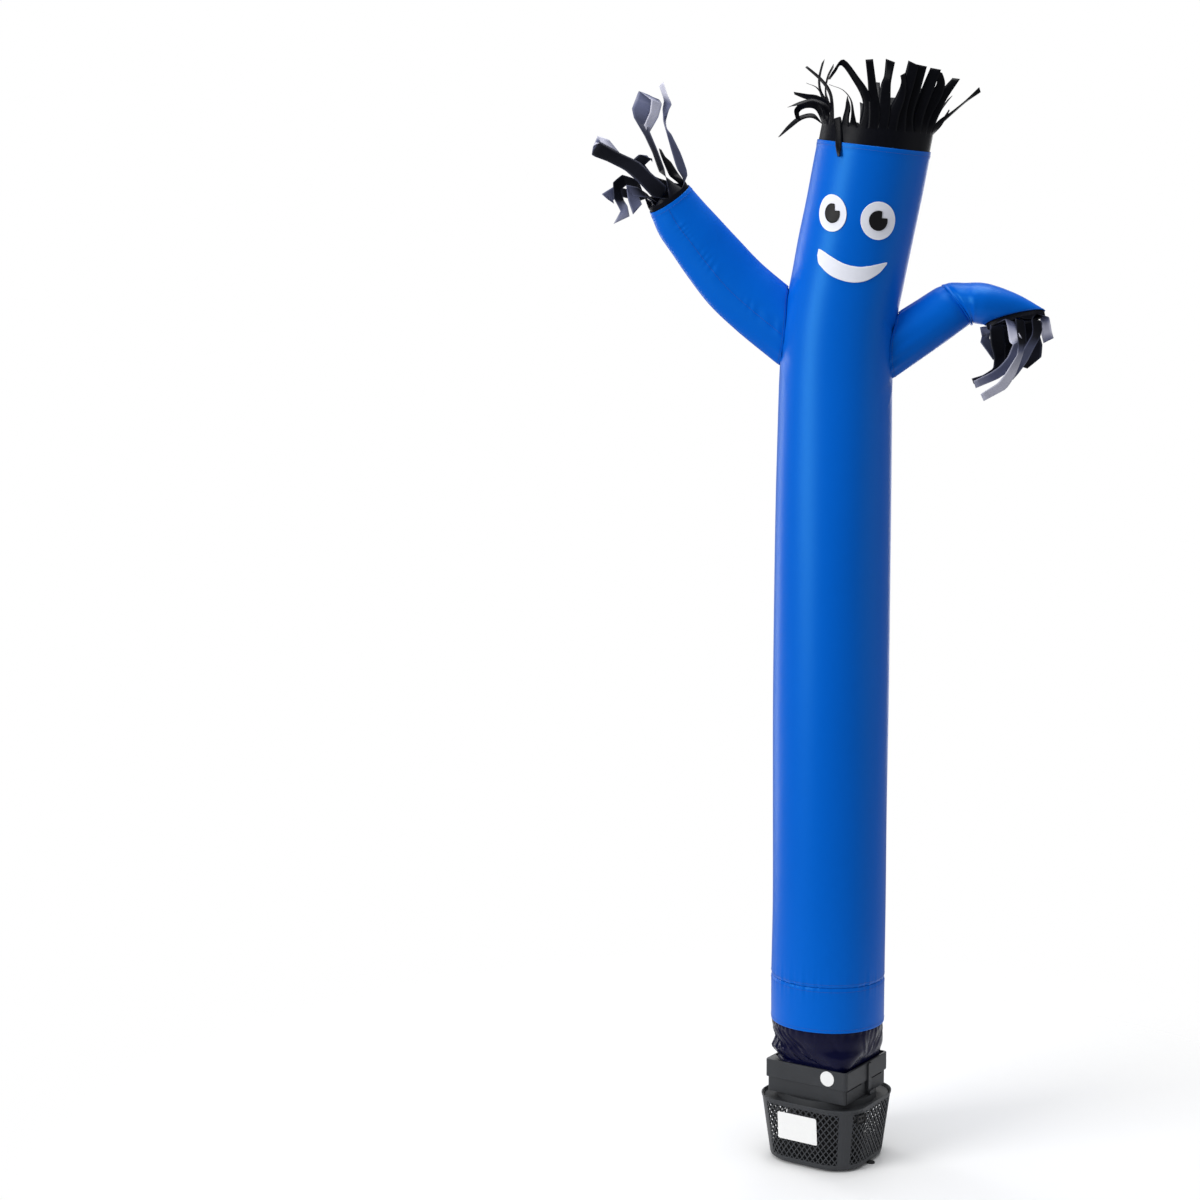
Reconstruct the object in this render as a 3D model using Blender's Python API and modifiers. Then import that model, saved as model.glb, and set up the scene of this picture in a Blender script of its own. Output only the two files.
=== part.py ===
"""Inflatable tube dancer standing on its floor blower.

A 9 inch tube of thin blue cloth stands on a square clamp frame, with a head that leans and bows, two tapered
sleeves, strips of black cloth for hair and fingers, and a patched-on face. Metres, +Z up, front towards -Y,
the blower's centre on the floor at the origin. Heights in the tables start a little above the floor.
"""

import math

import bmesh
import bpy
from mathutils import Matrix, Vector

# The heights' zero line above the floor
DATUM = 0.0090

# Cloth
CLOTH = 0.0015
CUFF_CLOTH = 0.0012
STRIP_CLOTH = 0.0010
GAP = 0.0004
SEAM = 0.3625
HEM = 0.2720
HAIRLINE = 2.0020
ROUND_BODY = 40
ROUND_SLEEVE = 24

# Blower, square pieces given by half their side and their corner's radius
TURN = math.radians(-27.5)
BASKET_LOW, BASKET_LOW_CORNER = 0.1000, 0.066
BASKET_TOP, BASKET_TOP_CORNER = 0.1120, 0.061
BASKET_FLOOR, RIM = -0.0060, 0.1220
BASKET_WALL = 0.0025
QUARTER = 0.188
FRAME_HALF, FRAME_INNER = 0.0912, 0.0868
FRAME_FLOOR, FRAME_TOP = 0.1590, 0.1945
DUCT_HALF, COLLAR_HALF = 0.0880, 0.0834
DUCT_FLOOR, COLLAR_TOP = 0.1295, 0.1895
LATTICE_LOW, LATTICE_TOP = 0.0165, 0.1060
LATTICE_COLUMNS, LATTICE_ROWS = 9, 3
LATTICE_STRUT = 0.0021
CORNER_BAND = 0.026
# along the side from the middle of the front left wall, height
LABEL = (-0.0083, 0.0715)
INLET = (0.1280, 0.1010)
# which wall's middle a foot stands at, how far out, how tall
FEET = ((0, 0.080, 0.0060), (1, 0.101, 0.0026), (2, 0.080, 0.0060), (3, 0.101, 0.0026))

# The tube's line: height, x, y, lean to the right, bow to the front (degrees), radius
SPINE = (
    (0.272, 0.0005, 0.0000, 0.0, 0.0, 0.1135),
    (0.362, 0.0005, 0.0000, 0.0, 0.0, 0.1136),
    (0.512, 0.0020, 0.0000, 0.0, 0.0, 0.1130),
    (0.716, 0.0015, 0.0000, 0.0, 0.0, 0.1136),
    (0.918, 0.0015, 0.0000, 0.0, 0.0, 0.1150),
    (1.118, 0.0015, 0.0000, 0.0, 0.0, 0.1147),
    (1.317, 0.0020, 0.0000, 0.0, 0.0, 0.1138),
    (1.475, 0.0035, 0.0000, 0.5, 0.0, 0.1121),
    (1.564, 0.0050, 0.0000, 2.0, 1.0, 0.1110),
    (1.644, 0.0098, -0.0020, 5.0, 2.0, 0.1106),
    (1.700, 0.0170, -0.0050, 8.0, 3.3, 0.1096),
    (1.750, 0.0265, -0.0080, 10.0, 4.5, 0.1094),
    (1.811, 0.0380, -0.0135, 10.8, 5.8, 0.1098),
    (1.882, 0.0525, -0.0215, 11.0, 7.0, 0.1094),
    (1.942, 0.0640, -0.0295, 10.2, 8.3, 0.1096),
    (2.005, 0.0755, -0.0390, 7.5, 9.3, 0.1092),
)
BODY_RINGS = (
    SEAM, 0.60, 0.88, 1.12, 1.34, 1.45, 1.53, 1.58, 1.62, 1.66, 1.70, 1.74, 1.78, 1.82, 1.86, 1.90, 1.95,
    HAIRLINE,
)

# The cuff: height, half side, corner radii at the front, right, back and left, depth of its folds
CUFF = (
    (0.1640, 0.0852, 0.0290, 0.0290, 0.0290, 0.0290, 0.0000),
    (0.1900, 0.0852, 0.0290, 0.0290, 0.0290, 0.0290, 0.0000),
    (0.1970, 0.0853, 0.0260, 0.0220, 0.0320, 0.0580, 0.0000),
    (0.2060, 0.0890, 0.0360, 0.0340, 0.0440, 0.0560, 0.0008),
    (0.2200, 0.0960, 0.0560, 0.0520, 0.0640, 0.0560, 0.0020),
    (0.2340, 0.1005, 0.0780, 0.0680, 0.0820, 0.0900, 0.0030),
    (0.2520, 0.1080, 0.1010, 0.0980, 0.1010, 0.1040, 0.0020),
    (0.2660, 0.1110, 0.1110, 0.1110, 0.1110, 0.1110, 0.0004),
    (0.2820, 0.1106, 0.1106, 0.1106, 0.1106, 0.1106, 0.0000),
)

# Sleeves, a section for each row: lower edge x, z, upper edge x, z, y of the middle, half depth, and how far
# the near side is drawn back towards the body
ARM_RAISED = (
    (-0.0600, 1.5450, 0.0100, 1.6350, 0.000, 0.040, 0.000),
    (-0.1271, 1.6001, -0.0400, 1.6970, 0.000, 0.041, 0.000),
    (-0.1894, 1.6514, -0.1010, 1.7470, -0.001, 0.038, 0.000),
    (-0.2445, 1.7027, -0.1455, 1.7855, -0.004, 0.035, 0.001),
    (-0.2880, 1.7578, -0.1890, 1.8320, -0.010, 0.034, 0.003),
    (-0.3170, 1.8010, -0.2215, 1.8665, -0.017, 0.034, 0.006),
    (-0.3425, 1.8400, -0.2545, 1.9000, -0.024, 0.034, 0.009),
    (-0.3600, 1.8820, -0.2835, 1.9325, -0.032, 0.033, 0.013),
)
ARM_BENT = (
    (0.0600, 1.5150, 0.0040, 1.6000, 0.000, 0.045, 0.000),
    (0.1124, 1.5523, 0.0565, 1.6400, 0.000, 0.046, 0.000),
    (0.1600, 1.5860, 0.1060, 1.6725, 0.000, 0.049, 0.000),
    (0.2150, 1.6250, 0.1580, 1.7052, -0.002, 0.050, 0.000),
    (0.2480, 1.6490, 0.1890, 1.7252, -0.004, 0.049, 0.000),
    (0.2640, 1.6600, 0.2045, 1.7335, -0.006, 0.044, 0.000),
    (0.2680, 1.6612, 0.2250, 1.7405, -0.009, 0.049, 0.001),
    (0.2700, 1.6612, 0.2600, 1.7407, -0.014, 0.053, 0.002),
    (0.2720, 1.6610, 0.2870, 1.7395, -0.018, 0.051, 0.002),
    (0.2770, 1.6605, 0.3160, 1.7310, -0.022, 0.047, 0.003),
    (0.2835, 1.6595, 0.3570, 1.7130, -0.026, 0.038, 0.004),
    (0.2895, 1.6585, 0.3930, 1.6915, -0.029, 0.027, 0.006),
    (0.2920, 1.6575, 0.4045, 1.6838, -0.031, 0.020, 0.008),
)

# Face, in metres: each eye's across, height, half width, half height, then the same of its pupil
EYES = {
    "left": (-0.0545, 1.8665, 0.0298, 0.0345, -0.0535, 1.8661, 0.0158, 0.0182),
    "right": (0.0370, 1.8675, 0.0346, 0.0355, 0.0365, 1.8676, 0.0184, 0.0188),
}
EYE_SLANT = -0.23
NOTCH_FROM, NOTCH_LEFT, NOTCH_RIGHT, NOTCH_STEP = 0.30, 0.42, 0.10, 0.06
MOUTH_HEIGHT = 1.775
# across, lower edge, upper edge, in millimetres
MOUTH = (
    (-67, 9, 21), (-62, -4, 20.5), (-52, -12.5, 17), (-40, -20.5, 12), (-26, -26.5, 6.5), (-10, -30, 1.8),
    (6, -31.2, 0.2), (22, -29, 1.4), (38, -22.5, 5.8), (52, -12, 11), (62, -2, 14.8), (69, 8.5, 17.6),
    (73, 15, 18.2),
)
PATCH = 0.0008
LIFT = 0.0006

# Hair, from the back round by the left side: lean to the right and lean to the front at the tip (degrees),
# length, twist along it (degrees), and how early it bends
HAIR = (
    (0, -4, 0.124, 0, 1.3), (-4, -16, 0.060, 12, 1.3), (-4, -140, 0.120, 0, 4), (-8, -140, 0.115, 0, 4),
    (-12, -140, 0.110, 0, 4), (4, -14, 0.116, 65, 1.3), (-48, -8, 0.095, 60, 4), (-96, -6, 0.110, -20, 1.6),
    (-150, 0, 0.128, 15, 1.2), (-122, 6, 0.104, -25, 1.5), (-92, 16, 0.100, 30, 1.6),
    (-8, 8, 0.118, 70, 1.3), (-34, 26, 0.125, 60, 1.3), (6, 176, 0.080, 0, 4), (4, 20, 0.058, 20, 1.3),
    (4, -4, 0.082, -20, 1.3),
    (-34, 20, 0.138, 25, 1.3), (-7, 2, 0.130, 0, 1.3), (8, 4, 0.127, -6, 1.3), (12, 16, 0.060, 0, 1.3),
    (16, 6, 0.130, 0, 1.3), (16, 5, 0.123, 0, 1.3), (22, 7, 0.117, 0, 1.3), (27, 4, 0.107, 8, 1.3),
    (44, 10, 0.106, -30, 1.3), (54, 6, 0.045, 20, 4), (56, -2, 0.116, 70, 4), (30, -6, 0.100, 0, 1.3),
    (24, -10, 0.106, 12, 1.3), (20, -14, 0.110, -8, 1.3), (18, -10, 0.112, 0, 1.3), (16, -18, 0.114, 8, 1.3),
    (14, -10, 0.118, 0, 1.3), (22, -26, 0.118, -8, 1.3), (2, -20, 0.112, 0, 1.3), (13, 6, 0.116, 0, 1.3),
)
HAIR_BAND = 0.030
HAIR_STEPS = 4
HAIR_GAP = 0.10

# Wrist strips, in millimetres from the hem's middle as seen from the front: first edge x, z, second edge x,
# z, y of the middle, and which edge is the nearer (1 the first, -1 the second)
STRIP_WIDE = 26.0
BAND_DRAW, BAND_SHOWS = 0.0020, 0.0090
FINGERS_RAISED = (
    (
        (30, 56, 12, 70, -14, 1), (29, 80, 4, 94, -12, 1), (16, 108, -5, 120, -9, 1),
        (-3, 141, -9, 143, -6, 1), (-4, 168, -15, 173, -4, -1), (5, 188, -14, 198, -4, -1),
        (-11, 226, -20, 229, -2, -1),
    ),
    (
        (-4, 50, -16, 46, -32, -1), (-14, 74, -24, 70, -30, -1), (-24, 94, -34, 90, -26, -1),
        (-44, 132, -58, 131, -20, -1), (-47, 158, -71, 165, -15, -1), (-44, 182, -69, 190, -12, 1),
        (-37, 203, -60, 213, -8, 1), (-27, 186, -47, 170, 6, 1), (-36, 158, -50, 148, 8, 1),
    ),
    (
        (-18, 34, -40, 12, -40, -1), (-40, 49, -60, 30, -44, -1), (-57, 62, -76, 44, -44, -1),
        (-90, 84, -109, 64, -42, 1), (-123, 106, -138, 82, -38, 1), (-145, 121, -157, 96, -34, 1),
    ),
    (
        (-36, 8, -42, -16, -20, 1), (-52, 20, -56, -6, -20, 1), (-72, 20, -68, -8, -22, 1),
        (-88, 6, -72, -14, -22, 1), (-86, -18, -60, -16, -20, 1), (-84, -30, -62, -38, -18, -1),
    ),
    (
        (-42, -14, -38, 10, 6, 1), (-58, 4, -56, 28, 2, 1), (-80, 26, -78, 50, 0, 1),
        (-100, 22, -108, 46, 0, 1), (-104, 4, -122, 20, 2, 1), (-98, -14, -120, -8, 4, 1),
        (-90, -36, -114, -42, 6, 1),
    ),
    (
        (-34, 6, -28, 26, 22, 1), (-62, 8, -58, 30, 24, 1), (-92, 2, -90, 24, 24, 1),
        (-126, -6, -128, 14, 20, 1), (-142, -2, -140, 14, 18, 1),
    ),
    (
        (-14, 26, -8, 40, 30, 1), (-24, 52, -18, 56, 32, 1), (-40, 82, -34, 86, 32, 1),
        (-58, 64, -58, 90, 32, 1), (-76, 62, -80, 80, 34, 1),
    ),
    (
        (2, 40, 18, 50, 18, 1), (-4, 62, 10, 72, 18, 1), (-14, 82, -6, 92, 16, 1),
        (-22, 98, -20, 106, 14, 1),
    ),
)
FINGERS_BENT = (
    (
        (65, -3, 47, -12, -2, -1), (69, -25, 49, -28, -2, -1), (73, -41, 54, -50, 0, -1),
    ),
    (
        (36, -20, 20, -20, -22, 1), (43, -37, 27, -37, -26, 1), (37, -62, 17, -62, -26, 1),
        (26, -92, 8, -90, -24, 1), (6, -112, -14, -122, -22, 1), (-36, -153, -42, -147, -22, 1),
    ),
    (
        (19, -22, 1, -24, -36, 1), (24, -40, 8, -42, -42, 1), (21, -67, 5, -67, -44, 1),
        (9, -102, -6, -97, -42, 1), (-18, -135, -31, -122, -40, 1), (-57, -160, -64, -147, -38, 1),
    ),
    (
        (-3, -24, -21, -22, -26, 1), (10, -37, -12, -40, -28, 1), (2, -67, -17, -62, -30, 1),
        (-13, -95, -33, -87, -30, 1), (-41, -121, -59, -112, -28, 1), (-72, -136, -77, -127, -28, 1),
    ),
    (
        (-25, -25, -48, -27, -10, 1), (-41, -53, -65, -47, -12, 1), (-21, -66, -45, -72, -10, 1),
        (-22, -87, -41, -99, -10, 1), (-48, -118, -59, -107, -10, 1), (-75, -128, -82, -117, -8, 1),
    ),
    (
        (-59, -24, -40, -20, 8, -1), (-68, -30, -56, -42, 8, -1),
    ),
    (
        (-11, -27, 7, -27, 12, -1), (-22, -52, -4, -57, 14, -1), (-36, -77, -22, -90, 14, -1),
    ),
    (
        (34, -25, 50, -25, 14, -1), (42, -52, 55, -58, 18, -1), (35, -77, 53, -77, 20, -1),
        (15, -87, 25, -98, 20, -1),
    ),
)


def start_scene():
    """Empties the scene and makes one collection for the parts and one for the cutters."""
    for old in list(bpy.data.objects):
        bpy.data.objects.remove(old, do_unlink=True)
    found = []
    for name in ("inflatable_tube_dancer", "cutters"):
        collection = bpy.data.collections.new(name)
        bpy.context.scene.collection.children.link(collection)
        found.append(collection)
    found[1].hide_render = True
    return found


PARTS, CUTTERS = start_scene()


def material(name, colour, roughness, metallic=0.0):
    made = bpy.data.materials.new(name)
    made.use_nodes = True
    shader = made.node_tree.nodes["Principled BSDF"]
    shader.inputs["Base Color"].default_value = (*colour, 1.0)
    shader.inputs["Roughness"].default_value = roughness
    shader.inputs["Metallic"].default_value = metallic
    made.diffuse_color = (*colour, 1.0)
    return made


def finish(name, shape, surface, smooth=True, middle=None):
    """The bmesh as a part, stood on the floor. An open one faces away from a point in its first ring."""
    bmesh.ops.recalc_face_normals(shape, faces=shape.faces[:])
    if middle is not None:
        shape.faces.ensure_lookup_table()
        first = shape.faces[0]
        if first.normal.dot(first.calc_center_median() - middle) < 0:
            bmesh.ops.reverse_faces(shape, faces=shape.faces[:])
    bmesh.ops.translate(shape, verts=shape.verts[:], vec=(0, 0, DATUM))
    mesh = bpy.data.meshes.new(name)
    shape.to_mesh(mesh)
    shape.free()
    for face in mesh.polygons:
        face.use_smooth = smooth
    mesh.materials.append(surface)
    part = bpy.data.objects.new(name, mesh)
    PARTS.objects.link(part)
    return part


def as_cutter(part):
    PARTS.objects.unlink(part)
    CUTTERS.objects.link(part)
    part.hide_render = True
    part.display_type = "WIRE"
    return part


def thicken(part, thickness, side=-1):
    wall = part.modifiers.new("Wall", "SOLIDIFY")
    wall.thickness = thickness
    wall.offset = side
    return part


def boolean(part, other, operation="DIFFERENCE"):
    cut = part.modifiers.new(operation.title(), "BOOLEAN")
    cut.operation = operation
    cut.object = other
    cut.solver = "EXACT"


def between(rows, place):
    """Every column of a table at one place along its first column, on a smooth curve through the rows."""
    last = len(rows) - 1
    first = max(0, min(last - 1, sum(row[0] <= place for row in rows) - 1))
    low, high = rows[first], rows[first + 1]
    reach = high[0] - low[0]
    t = (place - low[0]) / reach
    before, after = rows[max(first - 1, 0)], rows[min(first + 2, last)]
    found = []
    for column in range(len(low)):
        slope_low = (high[column] - before[column]) / (high[0] - before[0]) * reach
        slope_high = (after[column] - low[column]) / (after[0] - low[0]) * reach
        found.append(
            (2 * t**3 - 3 * t**2 + 1) * low[column]
            + (t**3 - 2 * t**2 + t) * slope_low
            + (3 * t**2 - 2 * t**3) * high[column]
            + (t**3 - t**2) * slope_high
        )
    return found


def tube_frame(height):
    """The tube's centre, turn and radius at a height along its line."""
    _, x, y, lean, bow, radius = between(SPINE, height)
    turn = Matrix.Rotation(math.radians(lean), 3, "Y") @ Matrix.Rotation(math.radians(bow), 3, "X")
    return Vector((x, y, height)), turn, radius


def on_tube(height, angle, out=0.0):
    """A point on the tube, its angle counted from the front towards the right."""
    centre, turn, radius = tube_frame(height)
    radius += out
    return centre + turn @ Vector((radius * math.sin(angle), -radius * math.cos(angle), 0.0))


def tube_ring(height, out=0.0, count=ROUND_BODY):
    return [on_tube(height, math.tau * i / count, out) for i in range(count)]


def loft(shape, rings, caps=False):
    """Faces between rings of as many points each, closed at both ends if asked."""
    rows = [[shape.verts.new(point) for point in ring] for ring in rings]
    for low, high in zip(rows, rows[1:]):
        for i in range(len(low)):
            j = (i + 1) % len(low)
            shape.faces.new((low[i], low[j], high[j], high[i]))
    if caps:
        shape.faces.new(rows[0][::-1])
        shape.faces.new(rows[-1])
    return rows


def square_point(half, corner, share):
    """The point at this share of the way round a square with round corners, from the middle of its front."""
    flat = half - corner
    lengths = (flat, corner * math.pi / 2, flat)
    side, along = divmod(share * 4, 1)
    along *= sum(lengths)
    if along < flat:
        point = Vector((along, -half))
    elif along < flat + lengths[1]:
        angle = (along - flat) / max(corner, 1e-9)
        point = Vector((flat + corner * math.sin(angle), -flat - corner * math.cos(angle)))
    else:
        point = Vector((half, -(flat - (along - flat - lengths[1]))))
    point.rotate(Matrix.Rotation(side * math.pi / 2, 2))
    return point


def square_ring(height, half, corner, steps=6):
    """A ring of points round a square, with this many steps to each corner."""
    points = []
    for quarter in range(4):
        for step in range(steps + 1):
            angle = math.pi / 2 * (quarter + step / steps)
            middle = Vector((half - corner, corner - half))
            middle.rotate(Matrix.Rotation(math.pi / 2 * quarter, 2))
            x = middle.x + corner * math.sin(angle)
            y = middle.y - corner * math.cos(angle)
            points.append(Vector((x, y, height)))
    return points


def turned(shape):
    """Turns what is built square to the axes to the way the blower stands."""
    bmesh.ops.rotate(shape, verts=shape.verts[:], cent=(0, 0, 0), matrix=Matrix.Rotation(TURN, 3, "Z"))
    return shape


def box(shape, centre, size):
    made = bmesh.ops.create_cube(shape, size=1.0)["verts"]
    bmesh.ops.scale(shape, verts=made, vec=size)
    bmesh.ops.translate(shape, verts=made, vec=centre)
    return made


# The tube and its sleeves


def build_body(surface):
    shape = bmesh.new()
    loft(shape, [tube_ring(height) for height in BODY_RINGS])
    return thicken(finish("body_tube", shape, surface, middle=tube_frame(SEAM)[0]), CLOTH)


def body_cutter(surface):
    """The solid tube, a gap larger than the cloth, that trims the sleeves' ends."""
    shape = bmesh.new()
    heights = [height for height in BODY_RINGS if height > 1.3]
    loft(shape, [tube_ring(height, GAP) for height in heights], caps=True)
    return as_cutter(finish("cutter_body", shape, surface))


def build_foot_band(surface):
    shape = bmesh.new()
    low, high = HEM, SEAM - GAP
    loft(shape, [tube_ring(height) for height in (low, (low + high) / 2, high)])
    return thicken(finish("foot_band", shape, surface, middle=tube_frame(low)[0]), CLOTH)


def cuff_point(height, share):
    """A point of the cuff's outside, with the folds that take up its spare cloth."""
    _, half, *corners, fold = between(CUFF, height)
    corner = min(corners[int(share * 4)], half - 1e-6)
    point = square_point(half, corner, share)
    angle = math.tau * share
    wave = 0.55 * math.cos(5 * angle + 0.8) + 0.35 * math.cos(9 * angle - 40 * (height - 0.2)) - 0.35
    out = point.normalized() * fold * wave
    return Vector((point.x + out.x, point.y + out.y, height))


def build_cuff(surface):
    shape = bmesh.new()
    count = 40
    heights = [row[0] for row in CUFF]
    loft(shape, [[cuff_point(height, i / count) for i in range(count)] for height in heights])
    return thicken(finish("cuff", turned(shape), surface, middle=Vector((0, 0, heights[0]))), CUFF_CLOTH)


def section(rows, place, smaller=0.0, count=ROUND_SLEEVE, further=0.0):
    """The ring of a sleeve at a place among its rows, drawn in by some metres, or moved further along."""
    numbered = [(i, *row) for i, row in enumerate(rows)]
    _, x_low, z_low, x_high, z_high, y, depth, draw = between(numbered, place)
    low, high = Vector((x_low, 0, z_low)), Vector((x_high, 0, z_high))
    across = (high - low) / 2
    half = across.length
    across.normalize()
    ahead = (between(numbered, place + 0.01)[1:5], between(numbered, place - 0.01)[1:5])
    way = Vector((ahead[0][0] + ahead[0][2] - ahead[1][0] - ahead[1][2], 0, 0))
    way.z = ahead[0][1] + ahead[0][3] - ahead[1][1] - ahead[1][3]
    way -= across * way.dot(across)
    way.normalize()
    near = Vector((0, -depth, 0)) - way * draw
    near_half = near.length - smaller
    axis = across.cross(near).normalized()
    axis *= 1 if axis.dot(way) > 0 else -1
    near.normalize()
    middle = (low + high) / 2 + Vector((0, y, 0)) + axis * further
    ring = []
    for i in range(count):
        angle = math.tau * i / count
        flat = across * (half - smaller) * math.cos(angle)
        ring.append(middle + flat + near * near_half * math.sin(angle))
    return ring


def build_sleeve(name, rows, steps, surface, trimmer):
    shape = bmesh.new()
    last = len(rows) - 1
    loft(shape, [section(rows, i / steps) for i in range(last * steps + 1)])
    middle = sum(section(rows, 0), Vector()) / ROUND_SLEEVE
    sleeve = thicken(finish(name, shape, surface, middle=middle), CLOTH)
    boolean(sleeve, trimmer)
    return sleeve


def arm_hole(name, rows, surface):
    """What is cut from the tube inside a sleeve's end."""
    shape = bmesh.new()
    loft(shape, [section(rows, i / 2, 0.006) for i in range(6)], caps=True)
    return as_cutter(finish(name, shape, surface))


# Face


def face_patch(name, columns, lift, surface, rows=3, level=None):
    """A patch on the tube from columns of (across, lower, upper height), stood upright about a level."""
    shape = bmesh.new()
    grid = []
    for across, low, high in columns:
        line = []
        for row in range(rows + 1):
            height = low + (high - low) * row / rows
            radius = tube_frame(height)[2]
            moved = across + (EYE_SLANT * (height - level) if level else 0.0)
            line.append(shape.verts.new(on_tube(height, moved / radius, lift)))
        grid.append(line)
    for left, right in zip(grid, grid[1:]):
        for row in range(rows):
            shape.faces.new((left[row], right[row], right[row + 1], left[row + 1]))
    patch = finish(name, shape, surface)
    centre = tube_frame((columns[0][1] + columns[0][2]) / 2)[0] + Vector((0, 0, DATUM))
    first = patch.data.polygons[0]
    outward = first.normal.dot(first.center - centre) > 0
    return thicken(patch, PATCH, 1 if outward else -1)


def oval(across, height, half, tall, notch=False, count=12):
    """Columns of an upright oval, its upper right bitten out if asked."""
    columns = []
    for i in range(count + 1):
        t = -math.cos(math.pi * (i + 0.35) / (count + 0.7))
        rise = math.sqrt(1 - t * t)
        low, high = -rise, rise
        if notch and t > NOTCH_FROM:
            high = min(rise, NOTCH_LEFT + (NOTCH_RIGHT - NOTCH_LEFT) * (t - NOTCH_FROM) / (1 - NOTCH_FROM))
        columns.append((t, low, high))
    if notch:
        edge = math.sqrt(1 - NOTCH_FROM**2)
        near, far = NOTCH_FROM - NOTCH_STEP, NOTCH_FROM
        left = [column for column in columns if column[0] < near - NOTCH_STEP]
        right = [column for column in columns if column[0] > far + NOTCH_STEP]
        columns = [*left, (near, -edge, edge), (far, -edge, NOTCH_LEFT), *right]
    return [(across + half * t, height + tall * low, height + tall * high) for t, low, high in columns]


# Strips


def fringe(name, rings, strips, surface):
    """A band of cloth with a strip standing on each pair of points of its last ring."""
    shape = bmesh.new()
    rows = loft(shape, rings)
    for column, stations in enumerate(strips):
        first, second = rows[-1][2 * column], rows[-1][2 * column + 1]
        for one, other in stations:
            next_first, next_second = shape.verts.new(one), shape.verts.new(other)
            shape.faces.new((first, second, next_second, next_first))
            first, second = next_first, next_second
    middle = sum(rings[0], Vector()) / len(rings[0])
    return thicken(finish(name, shape, surface, middle=middle), STRIP_CLOTH)


def hair_ring(height, count):
    """Two points to each strip, a little apart, just inside the tube's cloth."""
    ring = []
    for i in range(count):
        for edge in (HAIR_GAP / 2, 1 - HAIR_GAP / 2):
            angle = math.tau * (i + edge) / count + math.pi
            ring.append(on_tube(height, angle, -CLOTH - GAP))
    return ring


def hair_strip(first, second, lean, bow, tip):
    """Stations of a strip that bends from the head's line towards its tip's direction."""
    tip_lean, tip_bow, length, twist, early = tip
    middle = (first + second) / 2
    width = (second - first).length / 2
    across = (second - first).normalized()
    stations = []
    for step in range(1, HAIR_STEPS + 1):
        share = (step - 0.5) / HAIR_STEPS
        ease = min(1.0, early * share)
        a = math.radians(lean + (tip_lean - lean) * ease)
        b = math.radians(bow + (tip_bow - bow) * ease)
        way = Vector((math.sin(a) * math.cos(b), -math.sin(b), math.cos(a) * math.cos(b)))
        middle = middle + way * length / HAIR_STEPS
        side = (across - way * across.dot(way)).normalized()
        side.rotate(Matrix.Rotation(math.radians(twist) * step / HAIR_STEPS, 3, way))
        stations.append((middle - side * width, middle + side * width))
    return stations


def build_hair(surface):
    heights = (HAIRLINE - 0.008, HAIRLINE + HAIR_BAND)
    rings = [hair_ring(height, len(HAIR)) for height in heights]
    _, _, _, lean, bow, _ = between(SPINE, HAIRLINE)
    strips = []
    for i, tip in enumerate(HAIR):
        strips.append(hair_strip(rings[-1][2 * i], rings[-1][2 * i + 1], lean, bow, tip))
    return fringe("hair", rings, strips, surface)


def finger_stations(rows, tables):
    """Each strip's stations in metres from the hem's middle; an edge-on strip keeps its width in depth."""
    x_low, z_low, x_high, z_high, y_hem = rows[-1][:5]
    hem = Vector(((x_low + x_high) / 2, y_hem, (z_low + z_high) / 2))
    strips = []
    for table in tables:
        stations = []
        for x_one, z_one, x_two, z_two, y, near in table:
            seen = math.hypot(x_one - x_two, z_one - z_two)
            deep = math.sqrt(max(0.0, STRIP_WIDE**2 - seen**2)) / 2 * near * 0.6
            one = hem + Vector((x_one, y - deep, z_one)) / 1000
            two = hem + Vector((x_two, y + deep, z_two)) / 1000
            stations.append((one, two))
        strips.append(stations)
    return strips


def build_fingers(name, rows, tuck, tables, surface):
    """The wrist's band, tucked inside the hem, with its strips."""
    last = len(rows) - 1
    count = len(tables)
    inner = CLOTH + 2 * GAP

    def ring(place, smaller, further=0.0):
        fine = section(rows, place, smaller, 2 * count * 6, further)
        return [fine[(12 * i + step) % len(fine)] for i in range(count) for step in (1, 11)]

    rings = [ring(last - tuck, inner + BAND_DRAW), ring(last, inner), ring(last, inner, BAND_SHOWS)]
    return fringe(name, rings, finger_stations(rows, tables), surface)


# Blower


def square_shell(name, profile, surface, steps=6):
    """A square ring from a closed profile of (height, half side, corner radius)."""
    shape = bmesh.new()
    rings = [square_ring(*row, steps) for row in profile]
    rows = loft(shape, rings)
    low, high = rows[-1], rows[0]
    for i in range(len(low)):
        j = (i + 1) % len(low)
        shape.faces.new((low[i], low[j], high[j], high[i]))
    return finish(name, turned(shape), surface, smooth=False)


def square_block(name, profile, surface, steps=6):
    """A solid square piece from a profile of (height, half side, corner radius), floor first."""
    shape = bmesh.new()
    loft(shape, [square_ring(*row, steps) for row in profile], caps=True)
    return finish(name, turned(shape), surface, smooth=False)


def build_clamp_frame(surface):
    frame = square_shell(
        "clamp_frame",
        (
            (FRAME_FLOOR, FRAME_HALF, 0.007), (FRAME_TOP - 0.001, FRAME_HALF, 0.007),
            (FRAME_TOP, FRAME_HALF - 0.001, 0.006), (FRAME_TOP, FRAME_INNER, 0.005),
            (FRAME_FLOOR, FRAME_INNER, 0.005),
        ),
        surface,
        steps=3,
    )
    for name, place, size in (
        ("latch_strap", (0.0916, 0.0065, 0.1615), (0.0060, 0.0140, 0.0620)),
        ("latch_hook", (0.0934, 0.0105, 0.1340), (0.0096, 0.0220, 0.0070)),
    ):
        shape = bmesh.new()
        box(shape, place, size)
        boolean(frame, as_cutter(finish(name, turned(shape), surface, smooth=False)), "UNION")
    return frame


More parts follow.
